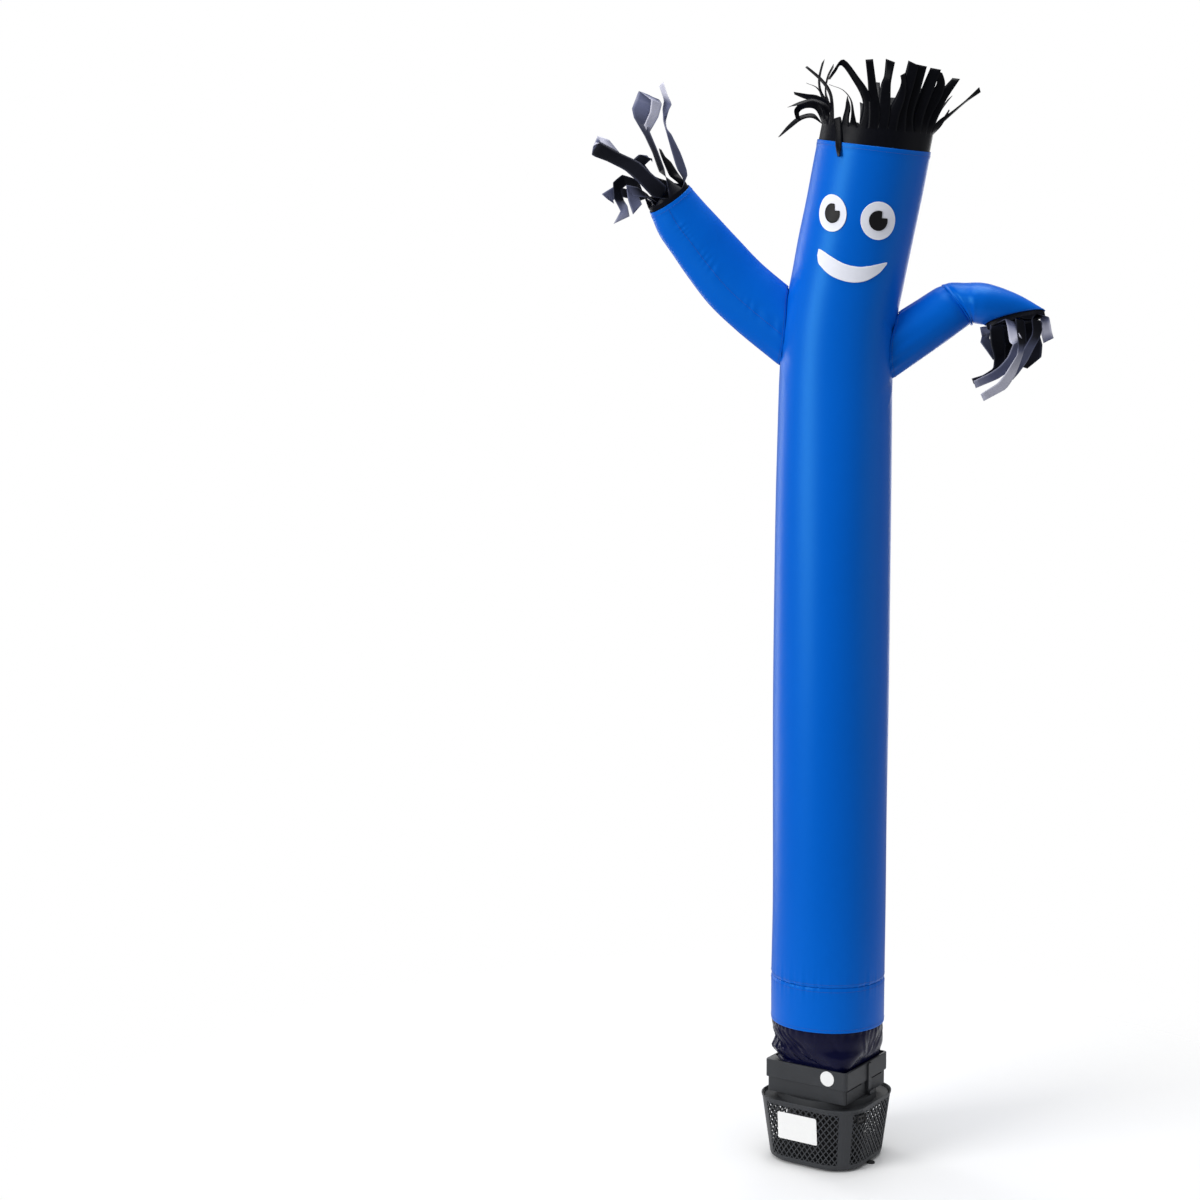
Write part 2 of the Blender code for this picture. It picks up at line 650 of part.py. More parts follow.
def build_duct(surface):
    return square_shell(
        "duct",
        (
            (DUCT_FLOOR, DUCT_HALF, 0.007), (FRAME_FLOOR - GAP, DUCT_HALF, 0.007),
            (FRAME_FLOOR - GAP, COLLAR_HALF, 0.032), (COLLAR_TOP, COLLAR_HALF, 0.032),
            (COLLAR_TOP, COLLAR_HALF - 0.002, 0.030), (DUCT_FLOOR, COLLAR_HALF - 0.002, 0.030),
        ),
        surface,
    )


def build_lid(surface):
    lid = square_block(
        "lid",
        ((0.1125, 0.1072, 0.0560), (0.1160, 0.1074, 0.0562), (0.1170, 0.1066, 0.0554)),
        surface,
    )
    shape = bmesh.new()
    bmesh.ops.create_cone(
        shape, cap_ends=True, segments=48, radius1=0.1010, radius2=0.0985, depth=0.0126,
        matrix=Matrix.Translation((0, 0, DUCT_FLOOR - GAP - 0.0063)),
    )
    boolean(lid, as_cutter(finish("turret_ring", turned(shape), surface)), "UNION")
    return lid


def basket_point(along, height):
    """A point of the basket's outside: along its side as a share of the way round, and its height."""
    rise = max(0.0, (height - BASKET_FLOOR) / (RIM - BASKET_FLOOR))
    half = BASKET_LOW + (BASKET_TOP - BASKET_LOW) * rise
    corner = BASKET_LOW_CORNER + (BASKET_TOP_CORNER - BASKET_LOW_CORNER) * rise
    point = square_point(half, corner, along % 1.0)
    return Vector((point.x, point.y, height))


def build_basket(surface):
    """One wall of diamonds to each side, solid at the corners, the rim and the foot."""
    shape = bmesh.new()
    columns, rows = 2 * LATTICE_COLUMNS, 2 * LATTICE_ROWS
    quarter = QUARTER
    side = quarter - CORNER_BAND
    cell_x, cell_z = side / columns, (LATTICE_TOP - LATTICE_LOW) / rows
    points = {}

    def vertex(wall, a, b, height=None):
        """The lattice's point a, b of a wall, laid flat before it is wrapped round."""
        if a < 0 or a > columns:
            raise ValueError("a point off its wall")
        z = LATTICE_LOW + cell_z * b if height is None else height
        key = (wall, a, round(z, 6))
        if key not in points:
            points[key] = shape.verts.new((wall * quarter - side / 2 + cell_x * a, z, 0))
        return points[key]

    diamonds = []
    for wall in range(4):
        for a in range(1, columns):
            for b in range(1, rows):
                if (a + b) % 2:
                    continue
                ends = ((a - 1, b), (a, b - 1), (a + 1, b), (a, b + 1))
                face = shape.faces.new([vertex(wall, *end) for end in ends])
                if not covered(wall, a - columns / 2, b, cell_x, cell_z):
                    diamonds.append(face)
        edge = [0, *range(1, columns, 2), columns]
        stops = [0, *range(1, rows, 2), rows]
        for b, inner in ((0, 1), (rows, rows - 1)):
            for left, right in zip(edge[1:-1], edge[2:-1]):
                pair = (vertex(wall, left, b), vertex(wall, right, b))
                shape.faces.new((*pair, vertex(wall, left + 1, inner)))
            for a, beside in ((0, 1), (columns, columns - 1)):
                shape.faces.new((vertex(wall, a, b), vertex(wall, beside, b), vertex(wall, a, inner)))
        for a, inner in ((0, 1), (columns, columns - 1)):
            for low, high in zip(stops[1:-1], stops[2:-1]):
                shape.faces.new((vertex(wall, a, low), vertex(wall, a, high), vertex(wall, inner, low + 1)))
        beyond = (wall + 1) % 4
        corner_x = wall * quarter + quarter / 2
        middle = {}

        def corner(z):
            z = round(z, 6)
            if z not in middle:
                middle[z] = shape.verts.new((corner_x, z, 0))
            return middle[z]

        heights = [LATTICE_LOW + cell_z * b for b in stops]
        for low, high in zip(heights, heights[1:]):
            for a, owner in ((columns, wall), (0, beyond)):
                shape.faces.new(
                    (vertex(owner, a, 0, low), corner(low), corner(high), vertex(owner, a, 0, high))
                )
        bend = BASKET_FLOOR + 0.006
        for near, far in ((LATTICE_LOW, bend), (bend, BASKET_FLOOR), (LATTICE_TOP, RIM)):
            for left, right in zip(edge, edge[1:]):
                quad = (vertex(wall, left, 0, near), vertex(wall, right, 0, near))
                shape.faces.new((*quad, vertex(wall, right, 0, far), vertex(wall, left, 0, far)))
            for a, owner in ((columns, wall), (0, beyond)):
                pair = (corner(near), corner(far))
                shape.faces.new((vertex(owner, a, 0, near), *pair, vertex(owner, a, 0, far)))
    shape.normal_update()
    bmesh.ops.inset_individual(shape, faces=diamonds, thickness=LATTICE_STRUT, use_even_offset=True)
    bmesh.ops.delete(shape, geom=diamonds, context="FACES")
    loose = [edge for edge in shape.edges if not edge.link_faces]
    bmesh.ops.delete(shape, geom=loose, context="EDGES")
    for vert in shape.verts:
        flat_x, z = vert.co.x, vert.co.y
        if z < BASKET_FLOOR + 0.001:
            vert.co = basket_point(flat_x / (4 * quarter), BASKET_FLOOR) * 0.93
            vert.co.z = BASKET_FLOOR
        else:
            vert.co = basket_point(flat_x / (4 * quarter), z)
    return thicken(finish("grille_basket", turned(shape), surface, smooth=False), BASKET_WALL)


def covered(wall, column, row, cell_x, cell_z):
    """Whether the label or the inlet sits over this diamond, which then stays solid."""
    x = column * cell_x
    z = LATTICE_LOW + cell_z * row
    if wall == 0:
        return abs(x - LABEL[0]) < 0.042 and abs(z - LABEL[1]) < 0.028
    if wall == 1:
        return abs(x - INLET[0] + QUARTER) < 0.016 and abs(z - INLET[1]) < 0.018
    return False


def basket_plate(name, along, height, size, surface):
    """A thin plate on the basket, its place along the side counted from the front left wall's middle."""
    shape = bmesh.new()
    box(shape, (0, -size[1] / 2, 0), size)
    share, step = along / (4 * QUARTER), 0.002
    across = (basket_point(share + step, height) - basket_point(share - step, height)).normalized()
    rise = basket_point(share, height + step) - basket_point(share, height - step)
    outward = across.cross(rise).normalized()
    place = Matrix((across, -outward, outward.cross(across))).transposed().to_4x4()
    place.translation = basket_point(share, height) + outward * GAP
    bmesh.ops.transform(shape, verts=shape.verts[:], matrix=place)
    return finish(name, turned(shape), surface, smooth=False)


def build_blower():
    plastic = material("charcoal_plastic", (0.052, 0.055, 0.060), 0.55)
    frame_plastic = material("clamp_plastic", (0.058, 0.061, 0.066), 0.50)
    duct_plastic = material("duct_plastic", (0.048, 0.050, 0.055), 0.55)
    lid_plastic = material("lid_plastic", (0.045, 0.047, 0.052), 0.55)
    dark = material("fan_plastic", (0.014, 0.014, 0.016), 0.60)
    pan = material("pan_plastic", (0.030, 0.031, 0.034), 0.60)
    inlet = material("inlet_plastic", (0.010, 0.010, 0.011), 0.45)
    rubber = material("foot_rubber", (0.016, 0.016, 0.017), 0.85)
    paper = material("label_paper", (0.80, 0.80, 0.79), 0.45)
    sticker = material("sticker_paper", (0.78, 0.78, 0.77), 0.45)
    build_clamp_frame(frame_plastic)
    build_duct(duct_plastic)
    build_lid(lid_plastic)
    build_basket(plastic)
    shape = bmesh.new()
    bmesh.ops.create_cone(
        shape, cap_ends=True, segments=32, radius1=0.078, radius2=0.078, depth=0.0990,
        matrix=Matrix.Translation((0, 0, 0.0627)),
    )
    finish("fan_housing", shape, dark)
    square_block(
        "base_plate",
        (
            (-DATUM, 0.0660, 0.0300), (-0.0026, 0.0665, 0.0300), (-0.0022, 0.0900, 0.0560),
            (0.0128, 0.0945, 0.0600),
        ),
        pan,
    )
    for wall, distance, tall in FEET:
        shape = bmesh.new()
        angle = TURN + (wall - 1) * math.pi / 2
        place = Vector((distance * math.cos(angle), distance * math.sin(angle), tall / 2 - DATUM))
        bmesh.ops.create_cone(
            shape, cap_ends=True, segments=12, radius1=0.0085, radius2=0.0080, depth=tall,
            matrix=Matrix.Translation(place),
        )
        finish(f"foot_{wall + 1}", shape, rubber)
    basket_plate("power_inlet", *INLET, (0.024, 0.0040, 0.018), inlet)
    basket_plate("rating_label", *LABEL, (0.0868, 0.0008, 0.0556), paper)
    shape = bmesh.new()
    place = Matrix.Translation((0.049, -FRAME_HALF - GAP - 0.0003, 0.178))
    bmesh.ops.create_cone(
        shape, cap_ends=True, segments=24, radius1=0.0150, radius2=0.0150, depth=0.0006,
        matrix=place @ Matrix.Rotation(math.pi / 2, 4, "X"),
    )
    finish("round_sticker", turned(shape), sticker, smooth=False)


def build_cloth():
    blue = material("blue_nylon", (0.004, 0.085, 0.480), 0.42)
    band_blue = material("blue_nylon_band", (0.004, 0.085, 0.480), 0.42)
    raised_blue = material("blue_nylon_raised", (0.004, 0.080, 0.460), 0.42)
    bent_blue = material("blue_nylon_bent", (0.004, 0.080, 0.460), 0.42)
    navy = material("navy_nylon", (0.010, 0.012, 0.040), 0.38)
    black = material("black_strips", (0.010, 0.011, 0.016), 0.40)
    slate_raised = material("slate_strips_raised", (0.030, 0.032, 0.048), 0.36)
    slate_bent = material("slate_strips_bent", (0.030, 0.032, 0.048), 0.36)
    body = build_body(blue)
    build_foot_band(band_blue)
    build_cuff(navy)
    trimmer = body_cutter(blue)
    for name, rows, steps, surface in (
        ("arm_raised", ARM_RAISED, 2, raised_blue),
        ("arm_bent", ARM_BENT, 1, bent_blue),
    ):
        build_sleeve(name, rows, steps, surface, trimmer)
        boolean(body, arm_hole("cutter_" + name, rows, surface))
    build_hair(black)
    build_fingers("fringe_raised", ARM_RAISED, 0.20, FINGERS_RAISED, slate_raised)
    build_fingers("fringe_bent", ARM_BENT, 0.50, FINGERS_BENT, slate_bent)


def build_face():
    mouth_white = material("mouth_white", (0.82, 0.82, 0.88), 0.50)
    columns = []
    for across, low, high in MOUTH:
        columns.append((across / 1000, MOUTH_HEIGHT + low / 1000, MOUTH_HEIGHT + high / 1000))
    face_patch("mouth", columns, LIFT, mouth_white)
    for side, (across, height, half, tall, dot_across, dot_height, dot_half, dot_tall) in EYES.items():
        white = material(f"eye_white_{side}", (0.82, 0.82, 0.88), 0.50)
        ink = material(f"pupil_ink_{side}", (0.010, 0.010, 0.014), 0.50)
        face_patch(f"eye_{side}", oval(across, height, half, tall, count=10), LIFT, white, 4, height)
        dot = oval(dot_across, dot_height, dot_half, dot_tall, notch=True, count=10)
        face_patch(f"pupil_{side}", dot, 2 * LIFT + PATCH, ink, 3, height)


build_cloth()
build_face()
build_blower()
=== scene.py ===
"""Looks of the inflatable tube dancer: sewn blue cloth, strips of black cloth, a patched-on face, and the
charcoal plastic floor blower that holds it up. Metres, +Z up, the dancer faces -Y.

The tables' heights start DATUM above the floor, as the part's do.
"""

import math

import bmesh
import bpy
import numpy as np
from mathutils import Matrix, Vector


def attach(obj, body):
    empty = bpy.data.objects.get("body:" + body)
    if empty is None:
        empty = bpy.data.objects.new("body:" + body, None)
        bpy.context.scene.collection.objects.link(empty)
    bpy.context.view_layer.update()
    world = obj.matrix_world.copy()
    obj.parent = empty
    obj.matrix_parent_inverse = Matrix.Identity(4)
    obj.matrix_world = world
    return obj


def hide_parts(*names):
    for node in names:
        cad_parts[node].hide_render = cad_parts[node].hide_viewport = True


bl_info = {
    "name": "Tube Dancer Looks",
    "version": (1, 0, 0),
    "blender": (4, 5, 0),
    "location": "3D View > Sidebar > Dancer",
    "description": "Sewn cloth, strips, face and blower of an inflatable tube dancer",
    "category": "Object",
}

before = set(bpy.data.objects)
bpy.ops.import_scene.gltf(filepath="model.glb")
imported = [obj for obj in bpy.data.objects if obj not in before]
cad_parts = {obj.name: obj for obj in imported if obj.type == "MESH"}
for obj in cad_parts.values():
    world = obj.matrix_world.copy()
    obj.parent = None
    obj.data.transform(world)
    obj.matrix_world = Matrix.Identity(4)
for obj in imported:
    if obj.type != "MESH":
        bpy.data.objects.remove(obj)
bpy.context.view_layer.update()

DATUM = 0.009
GAP = 0.0004

# Heights of the tube's seams, then what the cloth is cut to flat: across and along, in metres
SEAM, HEM, HAIRLINE = 0.3625, 0.272, 2.002
TUBE_GIRTH, TUBE_RADIUS = 0.712, 0.112
SLEEVE_FLAT, SLEEVE_MAP = (0.31, 0.42), 0.36
HAIR_FLAT, HAIR_MAP = (0.69, 0.168), 0.15
HAND_FLAT = (0.22, 0.2)
# How far inside the tube's and the sleeves' cloth a band of strips lies, and how thick a strip is
LINING, STRIP_WALL = 0.0015, 0.0008
STITCH_PITCH, STITCH_LONG, STITCH_THICK, STITCH_RISE = 0.0042, 0.0016, 0.00042, 0.0002

# Blower, square pieces given by half their side and their corner's radius
TURN = math.radians(-27.5)
BASKET_LOW, BASKET_LOW_CORNER = 0.1, 0.066
BASKET_TOP, BASKET_TOP_CORNER = 0.112, 0.061
BASKET_FLOOR, RIM = -0.006, 0.122
QUARTER, CORNER_BAND = 0.188, 0.026
FRAME_HALF, FRAME_WALL, DUCT_HALF = 0.0912, 0.004, 0.088
# The three-cornered web in the frame's corner
WEB_HEIGHT, WEB_RADIUS, WEB_THICK = 0.1936, 0.0152, 0.0016
# How far off a point's neighbours are taken to find which way the basket faces there
BESIDE = 0.002
# Plates on the basket, by metres along its side and height: place, then across, thick and up
LABEL, LABEL_SIZE, LABEL_CORNER = (-0.0083, 0.0715), (0.0868, 0.0004, 0.0556), 0.0035
INLET, INLET_SIZE = (0.128, 0.101), (0.024, 0.004, 0.018)
INLET_LIP, INLET_DEEP = 0.0022, 0.003
PIN_SPACE, PIN_SIZE = 0.0045, (0.0016, 0.0028, 0.005)
STICKER, STICKER_RADIUS, STICKER_THICK = (0.049, 0.178), 0.015, 0.0005
# Grooves in the duct's near wall, half a side out: along it and height, then across, along and up
DUCT_GROOVES = (
    ((-0.0515, 0.156), (0.005, 0.064, 0.003)),
    ((0.047, 0.156), (0.005, 0.046, 0.003)),
    ((-0.0828, 0.142), (0.004, 0.0016, 0.031)),
)

# The tube's line: height, x, y, lean to the right, bow to the front (degrees), radius
SPINE = (
    (0.272, 0.0005, 0.0, 0.0, 0.0, 0.1135),
    (0.362, 0.0005, 0.0, 0.0, 0.0, 0.1136),
    (0.512, 0.002, 0.0, 0.0, 0.0, 0.113),
    (0.716, 0.0015, 0.0, 0.0, 0.0, 0.1136),
    (0.918, 0.0015, 0.0, 0.0, 0.0, 0.115),
    (1.118, 0.0015, 0.0, 0.0, 0.0, 0.1147),
    (1.317, 0.002, 0.0, 0.0, 0.0, 0.1138),
    (1.475, 0.0035, 0.0, 0.5, 0.0, 0.1121),
    (1.564, 0.005, 0.0, 2.0, 1.0, 0.111),
    (1.644, 0.0098, -0.002, 5.0, 2.0, 0.1106),
    (1.7, 0.017, -0.005, 8.0, 3.3, 0.1096),
    (1.75, 0.0265, -0.008, 10.0, 4.5, 0.1094),
    (1.811, 0.038, -0.0135, 10.8, 5.8, 0.1098),
    (1.882, 0.0525, -0.0215, 11.0, 7.0, 0.1094),
    (1.942, 0.064, -0.0295, 10.2, 8.3, 0.1096),
    (2.005, 0.0755, -0.039, 7.5, 9.3, 0.1092),
)

# The cuff: height, half side, corner radii at the front, right, back and left, depth of its folds
CUFF = (
    (0.164, 0.0852, 0.029, 0.029, 0.029, 0.029, 0.0),
    (0.19, 0.0852, 0.029, 0.029, 0.029, 0.029, 0.0),
    (0.197, 0.0853, 0.026, 0.022, 0.032, 0.058, 0.0),
    (0.206, 0.089, 0.036, 0.034, 0.044, 0.056, 0.0008),
    (0.22, 0.096, 0.056, 0.052, 0.064, 0.056, 0.002),
    (0.234, 0.1005, 0.078, 0.068, 0.082, 0.09, 0.003),
    (0.252, 0.108, 0.101, 0.098, 0.101, 0.104, 0.002),
    (0.266, 0.111, 0.111, 0.111, 0.111, 0.111, 0.0004),
    (0.282, 0.1106, 0.1106, 0.1106, 0.1106, 0.1106, 0.0),
)
# Degrees round the cuff in a metre of it
CUFF_ROUND = 520
# Its folds: from angle, height to angle, height, width, depth out (degrees and metres)
CUFF_FOLDS = (
    (-62, 0.262, -34, 0.206, 0.0026, 0.0034), (-52, 0.262, -26, 0.212, 0.0022, -0.003),
    (-44, 0.256, -22, 0.222, 0.002, 0.0026), (-36, 0.25, -14, 0.205, 0.0022, -0.002),
    (-74, 0.258, -60, 0.205, 0.0024, -0.0034), (-84, 0.25, -72, 0.205, 0.0028, 0.0034),
    (-66, 0.24, -42, 0.202, 0.0018, 0.0022), (-70, 0.262, -52, 0.23, 0.0018, 0.0022),
    (-30, 0.224, -8, 0.204, 0.003, 0.0018), (2, 0.262, 16, 0.222, 0.006, -0.0012),
    (40, 0.262, 52, 0.208, 0.0032, 0.0024), (50, 0.264, 60, 0.212, 0.0028, -0.0028),
    (62, 0.262, 64, 0.206, 0.003, 0.0032), (72, 0.258, 74, 0.21, 0.003, -0.003),
    (84, 0.262, 80, 0.206, 0.0035, 0.003), (110, 0.26, 122, 0.21, 0.004, 0.0026),
    (134, 0.258, 128, 0.212, 0.0035, -0.0026), (152, 0.262, 160, 0.21, 0.004, 0.0026),
    (178, 0.258, 170, 0.214, 0.004, -0.0024), (-164, 0.262, -156, 0.21, 0.004, 0.0026),
    (-140, 0.26, -146, 0.212, 0.0035, -0.0026), (-118, 0.262, -110, 0.208, 0.004, 0.0028),
    (-98, 0.256, -102, 0.21, 0.0035, -0.0026),
)

# The tube's creases about its shoulders: from angle, height to angle, height, width, depth out
TUBE_CREASES = (
    (-84, 1.706, -58, 1.742, 0.006, -0.0016), (-78, 1.7, -50, 1.712, 0.005, 0.001),
    (-82, 1.6, -54, 1.58, 0.006, -0.0014), (-84, 1.59, -60, 1.548, 0.006, 0.001),
    (82, 1.652, 52, 1.676, 0.007, -0.0024), (84, 1.66, 60, 1.7, 0.006, 0.0014),
    (80, 1.55, 56, 1.53, 0.006, -0.0014), (84, 1.544, 64, 1.5, 0.005, 0.001),
)

# Sleeves, a section for each row: lower edge x, z, upper edge x, z, y of the middle, half depth, and how far
# the near side is drawn back towards the body
ARM_RAISED = (
    (-0.06, 1.545, 0.01, 1.635, 0.0, 0.04, 0.0),
    (-0.1271, 1.6001, -0.04, 1.697, 0.0, 0.041, 0.0),
    (-0.1894, 1.6514, -0.101, 1.747, -0.001, 0.038, 0.0),
    (-0.2445, 1.7027, -0.1455, 1.7855, -0.004, 0.035, 0.001),
    (-0.288, 1.7578, -0.189, 1.832, -0.01, 0.034, 0.003),
    (-0.317, 1.801, -0.2215, 1.8665, -0.017, 0.034, 0.006),
    (-0.3425, 1.84, -0.2545, 1.9, -0.024, 0.034, 0.009),
    (-0.36, 1.882, -0.2835, 1.9325, -0.032, 0.033, 0.013),
)
ARM_BENT = (
    (0.06, 1.515, 0.004, 1.6, 0.0, 0.045, 0.0),
    (0.1124, 1.5523, 0.0565, 1.64, 0.0, 0.046, 0.0),
    (0.16, 1.586, 0.106, 1.6725, 0.0, 0.049, 0.0),
    (0.215, 1.625, 0.158, 1.7052, -0.002, 0.05, 0.0),
    (0.248, 1.649, 0.189, 1.7252, -0.004, 0.049, 0.0),
    (0.264, 1.66, 0.2045, 1.7335, -0.006, 0.044, 0.0),
    (0.268, 1.6612, 0.225, 1.7405, -0.009, 0.049, 0.001),
    (0.27, 1.6612, 0.26, 1.7407, -0.014, 0.053, 0.002),
    (0.272, 1.661, 0.287, 1.7395, -0.018, 0.051, 0.002),
    (0.277, 1.6605, 0.316, 1.731, -0.022, 0.047, 0.003),
    (0.2835, 1.6595, 0.357, 1.713, -0.026, 0.038, 0.004),
    (0.2895, 1.6585, 0.393, 1.6915, -0.029, 0.027, 0.006),
    (0.292, 1.6575, 0.4045, 1.6838, -0.031, 0.02, 0.008),
)
# Which way round each sleeve its long seam runs (degrees from the upper edge by the front), and its girth
RAISED_SEAM, RAISED_GIRTH = 101, 0.262
BENT_SEAM, BENT_GIRTH = 262, 0.3
# Where the bent sleeve folds at its elbow, by row of its table, and how far along a sleeve its hem begins
ELBOW, SLEEVE_HEM = 5.25, 0.4

# Face, in metres: each eye's across, height, half width, half height, then the same of its pupil; how far
# each slants sideways as it rises; and the pupils' notch, in shares of their half size
EYES = {
    "left": (-0.0545, 1.8665, 0.0298, 0.0345, -0.0535, 1.8661, 0.0158, 0.0182),
    "right": (0.037, 1.8675, 0.0346, 0.0355, 0.0365, 1.8676, 0.0184, 0.0188),
}
EYE_SLANT = {"left": -0.14, "right": -0.06}
NOTCH_FROM, NOTCH_LEFT, NOTCH_RIGHT = 0.33, 0.32, 0.38
MOUTH_HEIGHT = 1.775
# across, lower edge, upper edge, in millimetres
MOUTH = (
    (-67, 9, 21), (-62, -4, 20.5), (-52, -12.5, 17), (-40, -20.5, 12), (-26, -26.5, 6.5), (-10, -30, 1.8),
    (6, -31.2, 0.2), (22, -29, 1.4), (38, -22.5, 5.8), (52, -12, 11), (62, -2, 14.8), (69, 8.5, 17.6),
    (73, 15, 18.2),
)
# Thickness of a patch, how far it stands off the cloth, and how far its stitched rim rises and reaches
PATCH, LIFT, RIM_RISE, RIM_WIDE = 0.0008, 0.0006, 0.0003, 0.0022

# Hair, 36 strips from the back round by the left side. Those at the back: lean to the right and lean to the
# front at the tip (degrees), length, twist along it (degrees), and how early it bends
HAIR_COUNT, HAIR_WIDE = 36, 17.0
HAIR_BACK = {
    0: (0, -52, 0.12, 0, 1.3), 1: (-4, -60, 0.066, 12, 1.3), 2: (-4, -140, 0.12, 0, 4),
    3: (-8, -140, 0.115, 0, 4), 4: (-12, -140, 0.11, 0, 4), 27: (34, -42, 0.098, 0, 1.5),
    28: (26, -56, 0.106, 12, 1.5), 29: (22, -48, 0.112, -8, 1.5), 30: (16, -66, 0.106, 0, 1.5),
    31: (10, -50, 0.12, 8, 1.5), 32: (6, -62, 0.114, 0, 1.5), 33: (8, -46, 0.11, -8, 1.5),
    34: (-2, -70, 0.118, 0, 1.5), 35: (2, -56, 0.112, 0, 1.5),
}
# Those that show from the front, in millimetres from the head's top: how far forward the tip comes, then
# across, up and width of each station as seen from the front
HAIR_SHOWN = {
    5: (0, ((-88, 88, 6.0), (-94, 115, 3.0), (-90, 142, 3.0), (-79, 164, 2.0))),
    6: (0, ((-93, 85, 6.0), (-105, 114, 4.0), (-107, 139, 4.4), (-100, 170, 4.0))),
    7: (10, ((-97, 75, 8.0), (-99, 98, 4.0), (-111, 118, 3.0), (-129, 127, 2.0))),
    8: (10, ((-87, 77, 8.0), (-109, 93, 9.0), (-132, 98, 8.0), (-155, 105, 2.0))),
    9: (5, ((-118, 57, 10.0), (-141, 54, 10.0), (-162, 39, 9.0), (-183, 19, 3.0))),
    10: (5, ((-108, 69, 12.0), (-131, 75, 11.0), (-148, 65, 10.0), (-146, 48, 8.0))),
    11: (-5, ((-93, 65, 12.0), (-116, 79, 8.0), (-140, 75, 8.0), (-163, 68, 2.0))),
    12: (-10, ((-82, 68, 6.0), (-87, 92, 5.0), (-103, 114, 4.0), (-131, 138, 2.0))),
    13: (-12, ((-72, 41, 13.0), (-69, 16, 13.0), (-69, -11, 11.0), (-69, -33, 3.0))),
    14: (-10, ((-55, 40, 12.0), (-52, 56, 10.0), (-54, 74, 2.0))),
    15: (-15, ((-42, 44, 6.0), (-46, 69, 3.0), (-61, 87, 2.4), (-84, 96, 2.0))),
    16: (-25, ((-16, 50, 16.0), (-20, 77, 16.0), (-37, 104, 12.0), (-62, 135, 10.0), (-76, 120, 4.0),
        (-87, 103, 2.0))),
    17: (-8, ((-3, 45, 22.0), (-7, 93, 16.0), (-13, 141, 14.0))),
    18: (-8, ((15, 49, 24.0), (18, 92, 19.0), (22, 110, 15.0), (26, 138, 18.0))),
    19: (-10, ((32, 38, 24.0), (45, 70, 18.0), (52, 95, 12.0), (50, 113, 11.0))),
    20: (-10, ((47, 50, 24.0), (60, 97, 22.0), (69, 134, 21.0))),
    21: (-10, ((60, 43, 22.0), (73, 91, 22.0), (84, 131, 21.0))),
    22: (-12, ((81, 45, 22.0), (96, 88, 22.0), (111, 126, 20.0))),
    23: (-8, ((95, 47, 22.0), (113, 80, 22.0), (122, 102, 16.0), (118, 124, 12.0))),
    24: (-6, ((107, 44, 22.0), (125, 79, 19.0), (151, 114, 13.0))),
    25: (-6, ((121, 34, 8.0), (144, 52, 4.0), (171, 74, 2.4), (197, 95, 8.0))),
    26: (0, ((119, 31, 10.0), (130, 44, 6.0), (141, 63, 2.0))),
}
# Height of the hair's band above the hem and below it, steps along a back strip, gap between two roots
HAIR_BAND, HAIR_TUCK, HAIR_STEPS, HAIR_GAP = 0.03, 0.008, 4, 0.03

# How far a wrist's band is drawn in where it is tucked, how far it shows, and the gap between two roots
BAND_DRAW, BAND_SHOWS, HAND_GAP = 0.002, 0.009, 0.04
# The bend that shows as a crease in a strip at the wrists, in radians
CREASED = 0.3
# Wrist strips, in millimetres from the hem's middle as seen from the front: first edge x, z, second edge x,
# z, y of the middle, and which edge is the nearer (1 the first, -1 the second)
STRIP_WIDE = 26.0
FINGERS_RAISED = (
    (
        (16, 55, 37, 46, -14, 1), (4, 94, 24, 84, -14, 1), (-4, 124, 4, 124, -12, 1),
        (-8, 137, -5, 135, -10, 1), (-11, 149, -7, 150, -10, 1), (-14, 173, 0, 170, -10, -1),
        (-11, 189, 5, 180, -10, -1), (-16, 204, -4, 199, -8, -1), (-21, 218, -12, 223, -6, -1),
    ),
    (
        (-19, 50, -8, 54, -24, -1), (-32, 86, -21, 89, -26, -1), (-48, 120, -37, 127, -26, -1),
        (-68, 154, -43, 144, -24, -1), (-72, 172, -39, 157, -22, -1), (-65, 191, -29, 176, -20, 1),
        (-59, 206, -19, 189, -18, 1), (-34, 187, -14, 180, -22, 1), (-36, 163, -21, 154, -26, 1),
        (-47, 138, -40, 122, -28, 1),
    ),
    (
        (-30, -1, -1, 17, -38, -1), (-56, 26, -30, 43, -42, -1), (-84, 51, -56, 67, -42, -1),
        (-119, 69, -94, 85, -40, -1), (-149, 81, -131, 106, -38, 1), (-146, 99, -140, 120, -34, 1),
        (-131, 105, -130, 117, -30, 1), (-96, 87, -116, 112, -28, 1),
    ),
    (
        (-42, 8, -22, -10, -16, 1), (-62, 21, -42, 1, -20, 1), (-83, 25, -70, 3, -22, 1),
        (-79, -5, -58, 1, -22, 1), (-70, -32, -52, -12, -20, -1),
    ),
    (
        (-61, 37, -66, 15, 4, 1), (-93, 48, -86, 28, 2, 1), (-111, 33, -97, 19, 0, 1),
        (-110, 3, -90, -2, 0, 1), (-97, -22, -82, -13, 0, -1), (-111, -47, -79, -32, 4, -1),
    ),
    (
        (-68, 17, -62, 0, 18, 1), (-92, 24, -90, 7, 20, 1), (-113, 27, -108, 10, 22, 1),
        (-136, 14, -113, 1, 20, 1), (-126, 4, -112, -5, 18, 1),
    ),
    (
        (-46, 57, -33, 48, 26, 1), (-63, 73, -46, 64, 28, 1), (-73, 82, -51, 71, 28, 1),
        (-64, 91, -37, 83, 30, 1), (-47, 88, -37, 77, 30, 1),
    ),
    (
        (-1, 46, 17, 50, 16, 1), (-13, 73, 1, 75, 16, 1), (-19, 90, -10, 85, 14, 1),
        (-21, 99, -18, 99, 14, 1),
    ),
)
